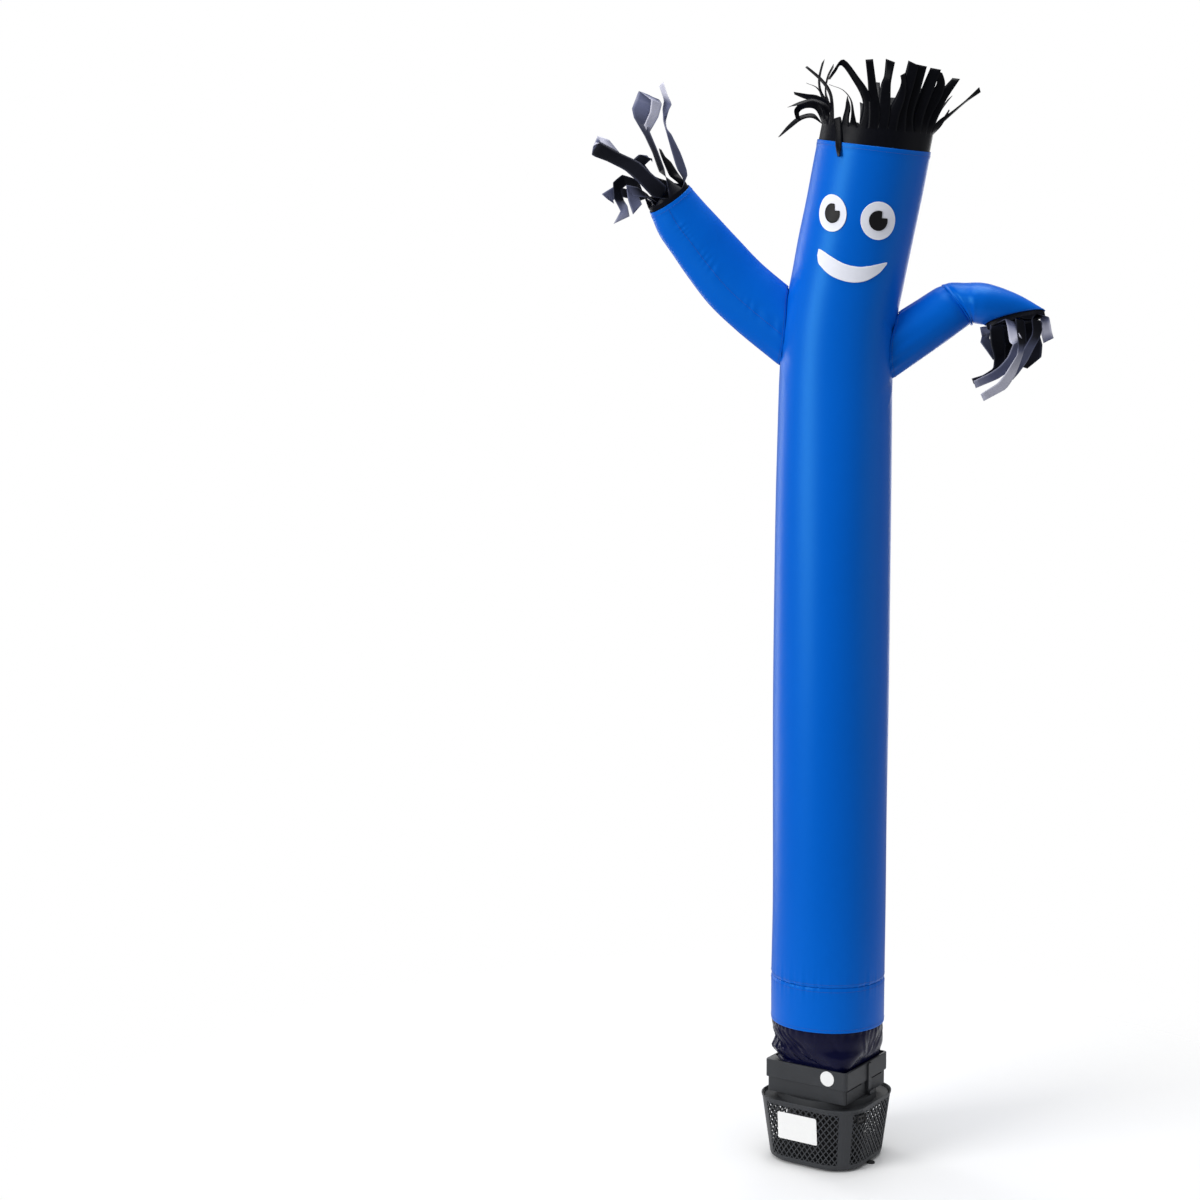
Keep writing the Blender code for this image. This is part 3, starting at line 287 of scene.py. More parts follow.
FINGERS_BENT = (
    (
        (48, 0, 63, 0, 0, -1), (49, -13, 66, -13, -2, -1), (50, -31, 69, -28, -2, -1),
        (55, -49, 73, -40, 0, -1),
    ),
    (
        (29, -5, 48, -6, -18, 1), (31, -23, 50, -25, -24, 1), (29, -36, 45, -41, -28, 1),
        (16, -59, 34, -61, -30, 1), (4, -80, 22, -85, -30, 1), (-7, -102, 7, -107, -28, 1),
        (-12, -118, -4, -120, -26, 1),
    ),
    (
        (-2, -5, 15, -4, -26, 1), (0, -27, 18, -27, -34, 1), (3, -50, 19, -49, -38, 1),
        (1, -74, 12, -75, -42, 1), (-20, -108, -1, -112, -44, 1), (-35, -127, -18, -138, -44, 1),
        (-67, -148, -60, -161, -40, 1),
    ),
    (
        (-21, -3, -4, -3, -20, 1), (-18, -15, 1, -27, -32, -1), (-13, -48, 7, -37, -37, -1),
        (-7, -54, 12, -44, -38, 1), (-16, -77, 8, -72, -38, 1), (-31, -95, -11, -103, -37, 1),
        (-48, -107, -34, -119, -36, 1), (-80, -123, -75, -136, -34, 1),
    ),
    (
        (-47, -13, -28, -8, -8, 1), (-49, -25, -22, -21, -10, 1), (-47, -50, -20, -49, -12, 1),
        (-40, -76, -18, -72, -14, 1), (-42, -98, -20, -92, -18, 1), (-61, -111, -54, -123, -24, 1),
        (-83, -118, -78, -128, -24, 1),
    ),
    (
        (-52, -15, -36, -11, 6, -1), (-66, -17, -45, -30, 8, -1), (-62, -34, -47, -30, 8, -1),
        (-65, -46, -47, -38, 8, 1), (-52, -64, -38, -57, 8, 1), (-40, -81, -36, -75, 6, 1),
    ),
    (
        (-30, -9, -11, -7, 12, -1), (-26, -30, 5, -30, 12, -1), (-19, -53, 14, -53, 12, -1),
        (-29, -77, -2, -75, 10, -1), (-40, -103, -17, -93, 8, -1),
    ),
    (
        (11, 1, 39, 1, 20, 1), (18, -23, 47, -24, 22, 1), (22, -49, 55, -51, 22, 1),
        (25, -75, 53, -75, 20, 1), (15, -94, 27, -97, 16, 1),
    ),
)

# How pale each wrist strip is painted along it, from 0, black, to 1, nearly white: painted sheen and
# reflection
PAINTED_SHEEN_RAISED = (
    (0.05, 0.3, 0.3, 0.36, 0.62, 0.5, 0.42, 0.48, 0.92, 0.95),
    (0.05, 0.08, 0.14, 0.2, 0.28, 0.4, 0.52, 0.42, 0.75, 0.95, 0.92),
    (0.05, 0.05, 0.1, 0.09, 0.05, 0.04, 0.85, 0.8, 0.62),
    (0.05, 0.04, 0.1, 0.34, 0.42, 0.5),
    (0.05, 0.04, 0.04, 0.05, 0.1, 0.45, 0.62),
    (0.05, 0.05, 0.06, 0.35, 0.4, 0.45),
    (0.05, 0.04, 0.06, 0.1, 0.14, 0.55),
    (0.05, 0.02, 0.02, 0.03, 0.05),
)
PAINTED_SHEEN_BENT = (
    (0.05, 0.35, 0.7, 0.82, 0.5),
    (0.05, 0.04, 0.05, 0.14, 0.42, 0.46, 0.42, 0.3),
    (0.05, 0.04, 0.04, 0.08, 0.72, 0.97, 0.9, 0.86),
    (0.05, 0.26, 0.6, 0.9, 0.55, 0.48, 0.44, 0.48, 0.64),
    (0.05, 0.3, 0.05, 0.02, 0.03, 0.12, 0.16, 0.12),
    (0.05, 0.3, 0.42, 0.2, 0.42, 0.42, 0.3),
    (0.05, 0.28, 0.12, 0.03, 0.05, 0.1),
    (0.05, 0.12, 0.05, 0.12, 0.14, 0.04),
)

# The basket's wall, floor first: height, and how far out of its straight side
BASKET_WALL = (
    (-0.006, -0.0075), (-0.0052, -0.0035), (-0.003, -0.0008), (0.001, 0.0), (0.005, 0.0),
    (0.113, 0.0), (0.1158, 0.0), (0.1166, 0.001), (0.1212, 0.0012), (0.122, 0.0004),
)

# Where the lights look, and each one's turn round the dancer from the front towards the right (degrees),
# distance, height, size, and share of the key light's power
LIT = Vector((0, 0, 1.15))
LIGHTS = (
    ("key_light", -52, 3.8, 2.15, (1.7, 2.7), 1.0),
    ("right_fill", 78, 4.4, 1.4, (3.4, 3.2), 0.14),
    ("left_rim", -133, 3.6, 1.4, (0.9, 3.2), 0.22),
    ("back_fill", 170, 4.2, 1.6, (2.4, 3.0), 0.45),
    ("top_light", 0, 0.01, 4.8, (3.0, 3.0), 1.2),
)


# Smooth curves through tables


def along(table, places):
    """Every column of a table at places along its first column, on a smooth curve through its rows."""
    rows = np.array(table, float)
    places = np.asarray(places, float)
    key = rows[:, 0]
    last = len(key) - 1
    low = np.clip(np.searchsorted(key, places, side="right") - 1, 0, last - 1)
    high, before, after = low + 1, np.maximum(low - 1, 0), np.minimum(low + 2, last)
    reach = (key[high] - key[low])[..., None]
    t = (places - key[low])[..., None] / reach
    slope_low = (rows[high] - rows[before]) / (key[high] - key[before])[..., None] * reach
    slope_high = (rows[after] - rows[low]) / (key[after] - key[low])[..., None] * reach
    return (
        (2 * t**3 - 3 * t**2 + 1) * rows[low]
        + (t**3 - 2 * t**2 + t) * slope_low
        + (3 * t**2 - 2 * t**3) * rows[high]
        + (t**3 - t**2) * slope_high
    )


def numbered(rows):
    """A table whose rows have no first column of their own, with their numbers as one."""
    return [(i, *row) for i, row in enumerate(rows)]


def unit(vectors):
    return vectors / np.linalg.norm(vectors, axis=-1, keepdims=True)


def creases(x, y, table):
    """How far out the cloth stands where folds run from one point of it to another."""
    out = np.zeros_like(x)
    for x_one, y_one, x_two, y_two, width, depth in table:
        way = np.array((x_two - x_one, y_two - y_one))
        share = ((x - x_one) * way[0] + (y - y_one) * way[1]) / way.dot(way)
        held = np.clip(share, 0, 1)
        off = np.hypot(x - x_one - held * way[0], y - y_one - held * way[1])
        out += depth * np.exp(-((off / width) ** 2)) * np.sin(math.pi * (0.15 + 0.7 * held))
    return out


# The tube


def tube_frame(height):
    """The tube's centre, axis, radius and its lean and bow at heights along its line."""
    _, x, y, lean, bow, radius = np.moveaxis(along(SPINE, height), -1, 0)
    lean, bow = np.radians(lean), np.radians(bow)
    axis = np.stack((np.cos(bow) * np.sin(lean), -np.sin(bow), np.cos(bow) * np.cos(lean)), -1)
    return np.stack((x, y, np.asarray(height, float)), -1), axis, radius, lean, bow


def on_tube(height, angle, out):
    """Points on the tube, their angle counted from the front towards the right."""
    centre, _, radius, lean, bow = tube_frame(height)
    right, back = (radius + out) * np.sin(angle), -(radius + out) * np.cos(angle)
    x = right * np.cos(lean) + back * np.sin(bow) * np.sin(lean)
    z = -right * np.sin(lean) + back * np.sin(bow) * np.cos(lean)
    return centre + np.stack((x, back * np.cos(bow), z), -1)


def off_tube(points):
    """How far points stand out from the tube's cloth, by steps towards the section that they lie in."""
    height = points[..., 2].copy()
    for _ in range(5):
        centre, axis, radius, _, _ = tube_frame(np.clip(height, HEM, HAIRLINE))
        height = height + ((points - centre) * axis).sum(-1) * axis[..., 2]
    return np.linalg.norm(points - centre, axis=-1) - radius


def near(value, centre, width):
    """1 at a centre, falling away over a width on both sides of it."""
    return np.exp(-(((value - centre) / width) ** 2))


def tube_relief(height, angle):
    """How far the tube's cloth stands out: its slack, the gathers at the foot seam, the creases about the
    shoulders, the hem at the hairline and the seam down the back."""
    slack = 0.0005 * np.sin(3 * angle + 2.1 * height) + 0.0004 * np.sin(5 * angle - 5.3 * height + 1)
    slack += 0.0006 * near(np.abs(angle), math.pi, 0.25) * np.sin(height * 37)
    gathered = 0.35 + near(angle, -0.62, 0.42) + 0.9 * near(angle, 0.74, 0.20)
    gathers = np.sin(47 * angle + 2.2 * np.sin(5 * angle)) * np.sin(13 * angle + 1)
    foot = 0.0016 * gathered * gathers * np.exp(-np.abs(height - SEAM) / 0.016)
    foot -= 0.0014 * near(height, SEAM, 0.0035)
    folded = creases(angle * TUBE_RADIUS, height, [
        (math.radians(a) * TUBE_RADIUS, b, math.radians(c) * TUBE_RADIUS, d, e, f)
        for a, b, c, d, e, f in TUBE_CREASES
    ])
    hem = 0.0003 * (1 + np.tanh((height - HAIRLINE + 0.012) / 0.0012))
    back = -0.0008 * near(np.abs(angle), math.pi, 0.018)
    return slack + foot + folded + hem + back


def on_cloth(height, angle, out=0.0):
    return on_tube(height, angle, tube_relief(height, angle) + out)


# Sleeves


def sleeve_frame(rows, place):
    """A sleeve's middle, its half section's two directions with their lengths, and its own direction."""
    table = numbered(rows)
    _, x_low, z_low, x_high, z_high, y, depth, draw = np.moveaxis(along(table, place), -1, 0)
    flat = np.zeros_like(x_low)
    low, high = np.stack((x_low, flat, z_low), -1), np.stack((x_high, flat, z_high), -1)
    half = np.linalg.norm(high - low, axis=-1)[..., None] / 2
    across = unit(high - low)
    step = along(table, place + 0.01) - along(table, place - 0.01)
    way = np.stack((step[..., 1] + step[..., 3], flat, step[..., 2] + step[..., 4]), -1)
    way = unit(way - across * (way * across).sum(-1)[..., None])
    front = -way * draw[..., None]
    front[..., 1] -= depth
    deep = np.linalg.norm(front, axis=-1)[..., None]
    axis = unit(np.cross(across, front))
    axis *= np.sign((axis * way).sum(-1))[..., None]
    middle = (low + high) / 2
    middle[..., 1] += y
    return middle, across, half, front / deep, deep, axis


def on_sleeve(rows, place, angle, out=0.0, further=0.0):
    """Points of a sleeve, their angle counted from its upper edge by the front."""
    middle, across, half, front, deep, axis = sleeve_frame(rows, place)
    out = np.asarray(out, float)[..., None] * np.ones_like(half)
    flat = across * (half + out) * np.cos(angle)[..., None]
    return middle + axis * further + flat + front * (deep + out) * np.sin(angle)[..., None]


def sleeve_root(rows, angle):
    """Where each lengthwise line of a sleeve leaves the tube's cloth, within its table's first four rows."""
    low, high = np.zeros_like(angle), np.full_like(angle, 4.0)
    for _ in range(26):
        middle = (low + high) / 2
        outside = off_tube(on_sleeve(rows, middle, angle)) > GAP
        low, high = np.where(outside, low, middle), np.where(outside, middle, high)
    return high


def sleeve_point(rows, seam, share, angle, out=0.0):
    """A point of a sleeve's cloth, its share of the way from the tube to the wrist."""
    last = len(rows) - 1
    root = sleeve_root(rows, angle)
    place = root + (last - root) * share
    length = SLEEVE_FLAT[1] * share
    turn = (angle - seam + math.pi) % math.tau - math.pi
    drawn_in = -0.0012 * np.exp(-length / 0.004)
    gathers = 0.0013 * np.exp(-length / 0.026) * np.sin(11 * angle + 1.5 * np.sin(3 * angle))
    slack = 0.0006 * np.sin(2 * angle + 9 * share)
    long_seam = -0.0007 * near(turn, 0, 0.035)
    uneven = 260 * length + 5 * np.sin(23 * length) + 3 * np.sin(57 * length + 1)
    puckers = 0.00055 * near(turn, 0, 0.18) * np.sin(uneven) * (0.6 + 0.4 * np.sin(length * 41))
    hem = 0.0002 * (1 + np.tanh((length - SLEEVE_HEM) / 0.0016))
    relief = drawn_in + gathers + slack + long_seam + puckers + hem
    if rows is ARM_BENT:
        step = place - ELBOW
        fold = np.where(step < 0, -0.0042 * np.exp(step / 0.16), 0.0048 * near(step, 0.10, 0.16))
        fold += 0.0022 * near(step, 0.75, 0.30) - 0.0016 * near(step, 1.5, 0.30)
        relief += fold * (0.25 + 0.75 * np.clip(0.7 - 0.7 * np.cos(angle), 0, 1))
    return on_sleeve(rows, place, angle, relief + out)


# Square pieces of the blower


def square_points(half, corner, share):
    """Points round a square with round corners, by share of the way from the middle of its front."""
    half, corner, share = np.broadcast_arrays(half, corner, np.asarray(share, float))
    flat = half - corner
    side = np.floor(share * 4)
    reach = (share * 4 - side) * (2 * flat + corner * math.pi / 2)
    bend = np.clip((reach - flat) / np.maximum(corner, 1e-9), 0, math.pi / 2)
    x = np.minimum(reach, flat) + corner * np.sin(bend)
    y = -half + corner * (1 - np.cos(bend)) + np.maximum(reach - flat - corner * math.pi / 2, 0)
    turn = side * math.pi / 2 + TURN
    return np.stack((x * np.cos(turn) - y * np.sin(turn), x * np.sin(turn) + y * np.cos(turn)), -1)


def on_cuff(height, share):
    """Points of the cuff, with the folds that take up its spare cloth."""
    found = along(CUFF, height)
    corners = found[..., 2:6]
    quarter = np.clip((share * 4).astype(int) % 4, 0, 3)
    corner = np.minimum(np.take_along_axis(corners, quarter[..., None], -1)[..., 0], found[..., 1] - 1e-6)
    flat = square_points(found[..., 1], corner, share)
    angle = np.arctan2(flat[..., 0], -flat[..., 1])
    folded = creases(np.degrees(angle) / CUFF_ROUND, height, [
        (a / CUFF_ROUND, b, c / CUFF_ROUND, d, e, f) for a, b, c, d, e, f in CUFF_FOLDS
    ])
    turn = math.tau * share
    wave = 0.55 * np.cos(5 * turn + 0.8) + 0.35 * np.cos(9 * turn - 40 * (height - 0.2)) - 0.35
    gathers = 0.0011 * np.sin(46 * angle + 2 * np.sin(7 * angle)) * near(height, HEM + 0.002, 0.012)
    room = np.clip((height - 0.199) / 0.010, 0, 1)
    stands = (found[..., 6] * wave * 0.6 + folded) * room + gathers
    flat = flat + unit(flat) * stands[..., None]
    return np.concatenate((flat, height[..., None]), -1)


def on_basket(reach, height):
    """Points of the basket's outside, by metres along its side from the front left wall's middle."""
    rise = np.maximum(0, (height - BASKET_FLOOR) / (RIM - BASKET_FLOOR))
    out = np.interp(height, *zip(*BASKET_WALL))
    half = BASKET_LOW + (BASKET_TOP - BASKET_LOW) * rise + out
    corner = BASKET_LOW_CORNER + (BASKET_TOP_CORNER - BASKET_LOW_CORNER) * rise + out
    flat = square_points(half, corner, np.asarray(reach) / (4 * QUARTER) % 1)
    return np.concatenate((flat, np.asarray(height, float)[..., None]), -1)


def basket_place(reach, height):
    """The turn and place of a plate that lies on the basket, its own -Y outwards."""
    here = on_basket(reach, height)
    across = unit(on_basket(reach + BESIDE, height) - here)
    rise = on_basket(reach, height + BESIDE) - here
    outward = unit(np.cross(across, rise))
    place = Matrix((across, -outward, np.cross(outward, across))).transposed().to_4x4()
    place.translation = Vector(here + outward * GAP)
    return place


# Sheets and pieces


def flat_sheet(columns, rows, width, length, spread=((0, 0), (1, 1))):
    """A flat sheet from 0 to 1 each way, its map in metres, its rows spread as a table of shares says."""
    shape = bmesh.new()
    cut = shape.loops.layers.uv.new("UVMap")
    bmesh.ops.create_grid(shape, x_segments=columns, y_segments=rows, size=0.5, calc_uvs=True)
    bmesh.ops.translate(shape, verts=shape.verts[:], vec=(0.5, 0.5, 0))
    for vert in shape.verts:
        vert.co.y = np.interp(vert.co.y, *zip(*spread))
    for face in shape.faces:
        for loop in face.loops:
            loop[cut].uv = (loop.vert.co.x * width, loop.vert.co.y * length)
    return shape


def flat_points(verts):
    """Where points of a flat sheet are, across and up."""
    return np.array([vert.co[:2] for vert in verts]).T


def lay(verts, place):
    """Moves points of a flat sheet to where place puts them."""
    for vert, spot in zip(verts, place(*flat_points(verts))):
        vert.co = spot


def face_outwards(shape):
    shape.normal_update()
    middle = sum((vert.co for vert in shape.verts), Vector()) / len(shape.verts)
    total = sum(face.calc_area() * face.normal.dot(face.calc_center_median() - middle) for face in shape.faces)
    if total < 0:
        bmesh.ops.reverse_faces(shape, faces=shape.faces[:])


def placed(name, shape):
    """The shape as a new object of the scene."""
    mesh = bpy.data.meshes.new(name)
    shape.to_mesh(mesh)
    shape.free()
    made = bpy.data.objects.new(name, mesh)
    bpy.context.scene.collection.objects.link(made)
    return made


def piece(name, shape, surface, stands_for=(), slot=None, wall=0.0, lift=DATUM, smooth=True):
    """The shape as a finished piece on the part, with the nodes that it stands for. Its slot is not used."""
    bmesh.ops.translate(shape, verts=shape.verts[:], vec=(0, 0, lift))
    made = placed(name, shape)
    for face in made.data.polygons:
        face.use_smooth = smooth
    made.data.materials.append(surface)
    if wall:
        thick = made.modifiers.new("Wall", "SOLIDIFY")
        thick.thickness = wall
        thick.offset = -1
    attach(made, "root")
    if stands_for:
        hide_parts(*stands_for)
    return made


def rounded(made, width, segments=2, angle=32):
    """Rounds the edges of a piece that are sharper than an angle."""
    bevel = made.modifiers.new("Edges", "BEVEL")
    bevel.width = width
    bevel.segments = segments
    bevel.limit_method = "ANGLE"
    bevel.angle_limit = math.radians(angle)
    bevel.harden_normals = True


def sewn_round(shape):
    """Joins the two ends of a sheet that was laid round something."""
    bmesh.ops.remove_doubles(shape, verts=shape.verts[:], dist=1e-6)
    face_outwards(shape)


def stitches(shape, line):
    """A row of thread stitches along a line of points."""
    one = bmesh.new()
    bmesh.ops.create_uvsphere(one, u_segments=6, v_segments=4, radius=1.0)
    stitch = bpy.data.meshes.new("stitch")
    one.to_mesh(stitch)
    one.free()
    reach = np.concatenate(([0], np.cumsum(np.linalg.norm(np.diff(line, axis=0), axis=1))))
    size = Matrix.Diagonal((STITCH_THICK, STITCH_THICK, STITCH_LONG, 1))
    for at in np.arange(STITCH_PITCH / 2, reach[-1], STITCH_PITCH):
        here, ahead = (
            Vector([np.interp(at + step, reach, line[:, axis]) for axis in range(3)])
            for step in (-STITCH_LONG / 2, STITCH_LONG / 2)
        )
        turn = (ahead - here).to_track_quat("Z", "Y").to_matrix().to_4x4()
        place = Matrix.Translation((here + ahead) / 2) @ turn @ size
        laid = stitch.copy()
        laid.transform(place)
        shape.from_mesh(laid)
        bpy.data.meshes.remove(laid)
    bpy.data.meshes.remove(stitch)


# Finishes


class Value:
    """One socket of a node, which sums can be written on."""

    def __init__(self, nodes, socket):
        self.nodes = nodes
        self.socket = socket

    def math(self, operation, one, other):
        return self.nodes.node("ShaderNodeMath", {"operation": operation}, {0: one, 1: other})["Value"]

    def __add__(self, other):
        return self.math("ADD", self, other)

    def __radd__(self, other):
        return self.math("ADD", other, self)

    def __sub__(self, other):
        return self.math("SUBTRACT", self, other)

    def __mul__(self, other):
        return self.math("MULTIPLY", self, other)


class Nodes:
    """A tree of nodes, added by node() or written as sums of values."""

    def __init__(self, tree):
        self.tree = tree

    def feed(self, socket, value):
        if isinstance(value, Value):
            self.tree.links.new(value.socket, socket)
        else:
            socket.default_value = value

    def node(self, kind, settings=None, inputs=None):
        """Adds a node, sets it, then its inputs by name or number, and gives its outputs by name."""
        made = self.tree.nodes.new(kind)
        for name, value in (settings or {}).items():
            if name == "stops":
                self.set_stops(made.color_ramp.elements, value)
            else:
                setattr(made, name, value)
        for name, value in (inputs or {}).items():
            self.feed(made.inputs[name], value)
        return {socket.name: Value(self, socket) for socket in made.outputs if socket.enabled}

    @staticmethod
    def set_stops(elements, stops):
        while len(elements) < len(stops):
            elements.new(1.0)
        for element, (place, colour) in zip(elements, stops):
            element.position = place
            element.color = (*colour, 1.0)


class Finish(Nodes):
    """A procedural finish on one shader."""

    def __init__(self, name, colour, roughness, **constants):
        self.material = bpy.data.materials.new(name)
        self.material.use_nodes = True
        super().__init__(self.material.node_tree)
        self.shader = self.tree.nodes["Principled BSDF"]
        self.material.diffuse_color = (*colour, 1.0)
        self.give("Base Color", (*colour, 1.0))
        self.give("Roughness", roughness)
        for socket, value in constants.items():
            self.give(socket.replace("_", " ").title().replace("Ior", "IOR"), value)

    def give(self, name, value):
        """Sets or feeds one socket of the shader."""
        self.feed(self.shader.inputs[name], value)

    def places(self):
        """Where each point of the piece is, in metres."""
        return self.node("ShaderNodeTexCoord")["Object"]

    def cut(self):
        """The sheet's own flat map, in metres: across and along."""
        flat = self.node("ShaderNodeUVMap", {"uv_map": "UVMap"})["UV"]
        parts = self.node("ShaderNodeSeparateXYZ", None, {0: flat})
        return parts["X"], parts["Y"]

    def attribute(self, name):
        return self.node("ShaderNodeAttribute", {"attribute_name": name})["Fac"]

    def noise(self, scale, detail, roughness=0.5, at=None):
        inputs = {"Vector": at or self.places(), "Scale": scale, "Detail": detail, "Roughness": roughness}
        return self.node("ShaderNodeTexNoise", None, inputs)["Fac"]

    def sine(self, value):
        return self.node("ShaderNodeMath", {"operation": "SINE"}, {0: value})["Value"]

    def mix(self, share, one, other):
        inputs = {0: share, 6: one, 7: other}
        return self.node("ShaderNodeMix", {"data_type": "RGBA", "clamp_factor": True}, inputs)["Result"]

    def fade(self, value, reach, shares, kind="LINEAR"):
        """From one share to another as a value goes from one end of its reach to the other."""
        inputs = {"Value": value, 1: reach[0], 2: reach[1], 3: shares[0], 4: shares[1]}
        return self.node("ShaderNodeMapRange", {"interpolation_type": kind}, inputs)["Result"]

    def ramp(self, value, stops):
        return self.node("ShaderNodeValToRGB", {"stops": stops}, {"Fac": value})["Color"]

    def bump(self, height, distance, strength, over=None):
        inputs = {"Height": height, "Distance": distance, "Strength": strength}
        if over is not None:
            inputs["Normal"] = over
        return self.node("ShaderNodeBump", None, inputs)["Normal"]


def weave(finish, pitch, distance):
    """The bump of a plain weave on the sheet's flat map."""
    across, length = finish.cut()
    turn = math.tau / pitch
    threads = finish.sine(across * turn) * finish.sine(length * turn)
    return finish.bump(threads, distance, 0.35)


def shaded(colour, share):
    """A colour made darker or paler, as a finish's node takes it."""
    return tuple(part * share for part in colour) + (1.0,)


def coated_cloth(name, colour, roughness, pitch, gloss=0.34, tint=(0.15, 0.78, 1.0)):
    """Thin coated cloth: a fine weave under a soft gloss, a little uneven in colour and shine."""
    finish = Finish(name, colour, roughness, specular_ior_level=gloss, specular_tint=(*tint, 1.0))
    clouds = finish.noise(2.4, 3.0)
    grain = finish.noise(60.0, 2.0)
    uneven = clouds * 0.7 + grain * 0.3
    finish.give("Base Color", finish.mix(uneven, shaded(colour, 0.93), shaded(colour, 1.06)))
    finish.give("Roughness", roughness - 0.04 + clouds * 0.08)
    finish.give("Normal", finish.bump(finish.noise(9.0, 3.0), 0.0016, 0.25, weave(finish, pitch, 0.00003)))
    return finish.material


def strip_cloth(name, black, pale, painted_edge_highlight):
    """The strips' black cloth with painted sheen and reflection, from black to nearly white as its painted
    tone says, and a painted highlight at its cut edges.
    """
    finish = Finish(name, black, 0.34, specular_ior_level=0.08)
    tone, edge = finish.attribute("tone"), finish.attribute("edge")
    slate = tuple(light * share for light, share in zip(pale, (0.19, 0.21, 0.30)))
    shades = ((0.0, black), (0.14, shaded(slate, 0.08)[:3]), (0.5, slate), (1.0, pale))
    grain = finish.noise(140.0, 2.0)
    # The ramp paints sheen and reflection of the light into the black strips' colour
    colour = finish.ramp(tone + edge * painted_edge_highlight + (grain - 0.5) * 0.03, shades)
    finish.give("Base Color", colour)
    finish.give("Roughness", 0.30 + grain * 0.12)
    finish.give("Normal", finish.bump(finish.noise(45.0, 2.0), 0.0008, 0.3, weave(finish, 0.0009, 0.00004)))
    return finish.material


def patch_cloth(name, colour, rim):
    """A sewn patch: plain cloth with a raised, brighter or darker edge of close stitches."""
    finish = Finish(name, colour, 0.52, specular_ior_level=0.25)
    edge = finish.attribute("edge")
    grain = finish.noise(90.0, 2.0)
    inner = finish.mix(grain, shaded(colour, 0.94), shaded(colour, 1.03))
    finish.give("Base Color", finish.mix(edge, inner, (*rim, 1.0)))
    finish.give("Roughness", 0.48 + grain * 0.10)
    finish.give("Normal", finish.bump(finish.noise(500.0, 1.0), 0.00006, 0.4))
    return finish.material


def moulded(name, colour, roughness):
    """Moulded plastic with a spark-eroded grain, a little paler with dust low down and on its faces."""
    finish = Finish(name, colour, roughness, specular_ior_level=0.30)
    at = finish.places()
    height = finish.node("ShaderNodeSeparateXYZ", None, {0: at})["Z"]
    mottle = finish.noise(26.0, 4.0, 0.6, at)
    low = finish.fade(height, (0.0, 0.16), (0.35, 0.0))
    dusty = tuple(part * 1.5 + 0.012 for part in colour)
    finish.give("Base Color", finish.mix(mottle * 0.5 + low * mottle, shaded(colour, 0.92), (*dusty, 1.0)))
    finish.give("Roughness", roughness - 0.06 + mottle * 0.14)
    fine = finish.bump(finish.noise(700.0, 2.0, 0.6, at), 0.00012, 0.5)
    finish.give("Normal", finish.bump(finish.noise(30.0, 2.0, 0.5, at), 0.0006, 0.12, fine))
    return finish.material


def grained(name, colour, roughness, grain, shades, raised, spread=(0.0, 0.0), **constants):
    """A plain finish with one fine grain: its noise, its two shades, the distance and strength of its bump,
    and how rough it is at the grain's lowest and how much rougher at its highest."""
    finish = Finish(name, colour, roughness, **constants)
    fine = finish.noise(*grain)
    finish.give("Base Color", finish.mix(fine, *(shaded(colour, shade) for shade in shades)))
    if any(spread):
        finish.give("Roughness", spread[0] + fine * spread[1])
    finish.give("Normal", finish.bump(fine, *raised))
    return finish.material


def rubber(name, colour):
    return grained(name, colour, 0.85, (420.0, 3.0), (0.8, 1.6), (0.0002, 0.5), (0.78, 0.16))


def paper(name, colour):
    """Blank coated paper."""
    return grained(
        name, colour, 0.42, (160.0, 4.0, 0.7), (0.97, 1.02), (0.00006, 0.3), (0.38, 0.12),
        coat_weight=0.15, coat_roughness=0.25,
    )


def thread(name, colour):
    return grained(name, colour, 0.55, (900.0, 1.0), (0.85, 1.1), (0.0001, 0.5), sheen_weight=0.2)


def floor_finish(name, colour):
    """A pale floor that fades out into the white of the studio."""
    finish = Finish(name, colour, 0.9, specular_ior_level=0.1)
    at = finish.places()
    clouds = finish.noise(0.6, 2.0, 0.5, at)
    finish.give("Base Color", finish.mix(clouds, shaded(colour, 0.995), (*colour, 1.0)))
    reach = finish.node("ShaderNodeVectorMath", {"operation": "LENGTH"}, {0: at})["Value"]
    finish.give("Alpha", finish.fade(reach, (0.3, 1.7), (1.0, 0.0), "SMOOTHSTEP"))
    return finish.material


# Settings


def tint_setting(label, tells, default):
    return bpy.props.FloatVectorProperty(
        name=label, description=tells, subtype="COLOR", size=3, default=default, min=0, max=1
    )


def length_setting(label, tells, default, low, high):
    return bpy.props.FloatProperty(
        name=label, description=tells, default=default, min=low, max=high, unit="LENGTH"
    )


def count_setting(label, tells, default, low, high):
    return bpy.props.IntProperty(name=label, description=tells, default=default, min=low, max=high)


class ClothSettings(bpy.types.PropertyGroup):
    """The blown-up cloth."""

    blue: tint_setting("Tube Colour", "Colour of the tube and sleeves", (0.0, 0.112, 0.6))
    navy: tint_setting("Cuff Colour", "Colour of the cuff in the clamp frame", (0.001, 0.0018, 0.02))
    thread: tint_setting("Thread Colour", "Colour of the tube's stitches", (0.001, 0.055, 0.36))
    wall: length_setting("Cloth Thickness", "Thickness of the cloth and its coating", 0.0012, 0.0003, 0.003)
    gloss: bpy.props.FloatProperty(
        name="Roughness", description="Roughness of the coated cloth", default=0.36, min=0.1, max=0.9,
        subtype="FACTOR",
    )
    pitch: length_setting("Thread Pitch", "Distance between threads of the weave", 0.0008, 0.0003, 0.005)


class StripSettings(bpy.types.PropertyGroup):
    """The strips of the hair and the hands, and the face's patches."""

    black: tint_setting("Strip Colour", "Darkest colour of the strips", (0.0008, 0.0009, 0.0018))
    # The nearly white that is painted where a strip shows sheen and reflection
    pale: tint_setting("Pale Side", "Colour of a strip's pale sheen", (0.62, 0.62, 0.72))
    white: tint_setting("Patch Colour", "Colour of the eyes and the mouth", (0.86, 0.88, 0.97))
    curl: length_setting("Curl", "How far a strip's middle stands off its edges", 0.0022, 0, 0.006)


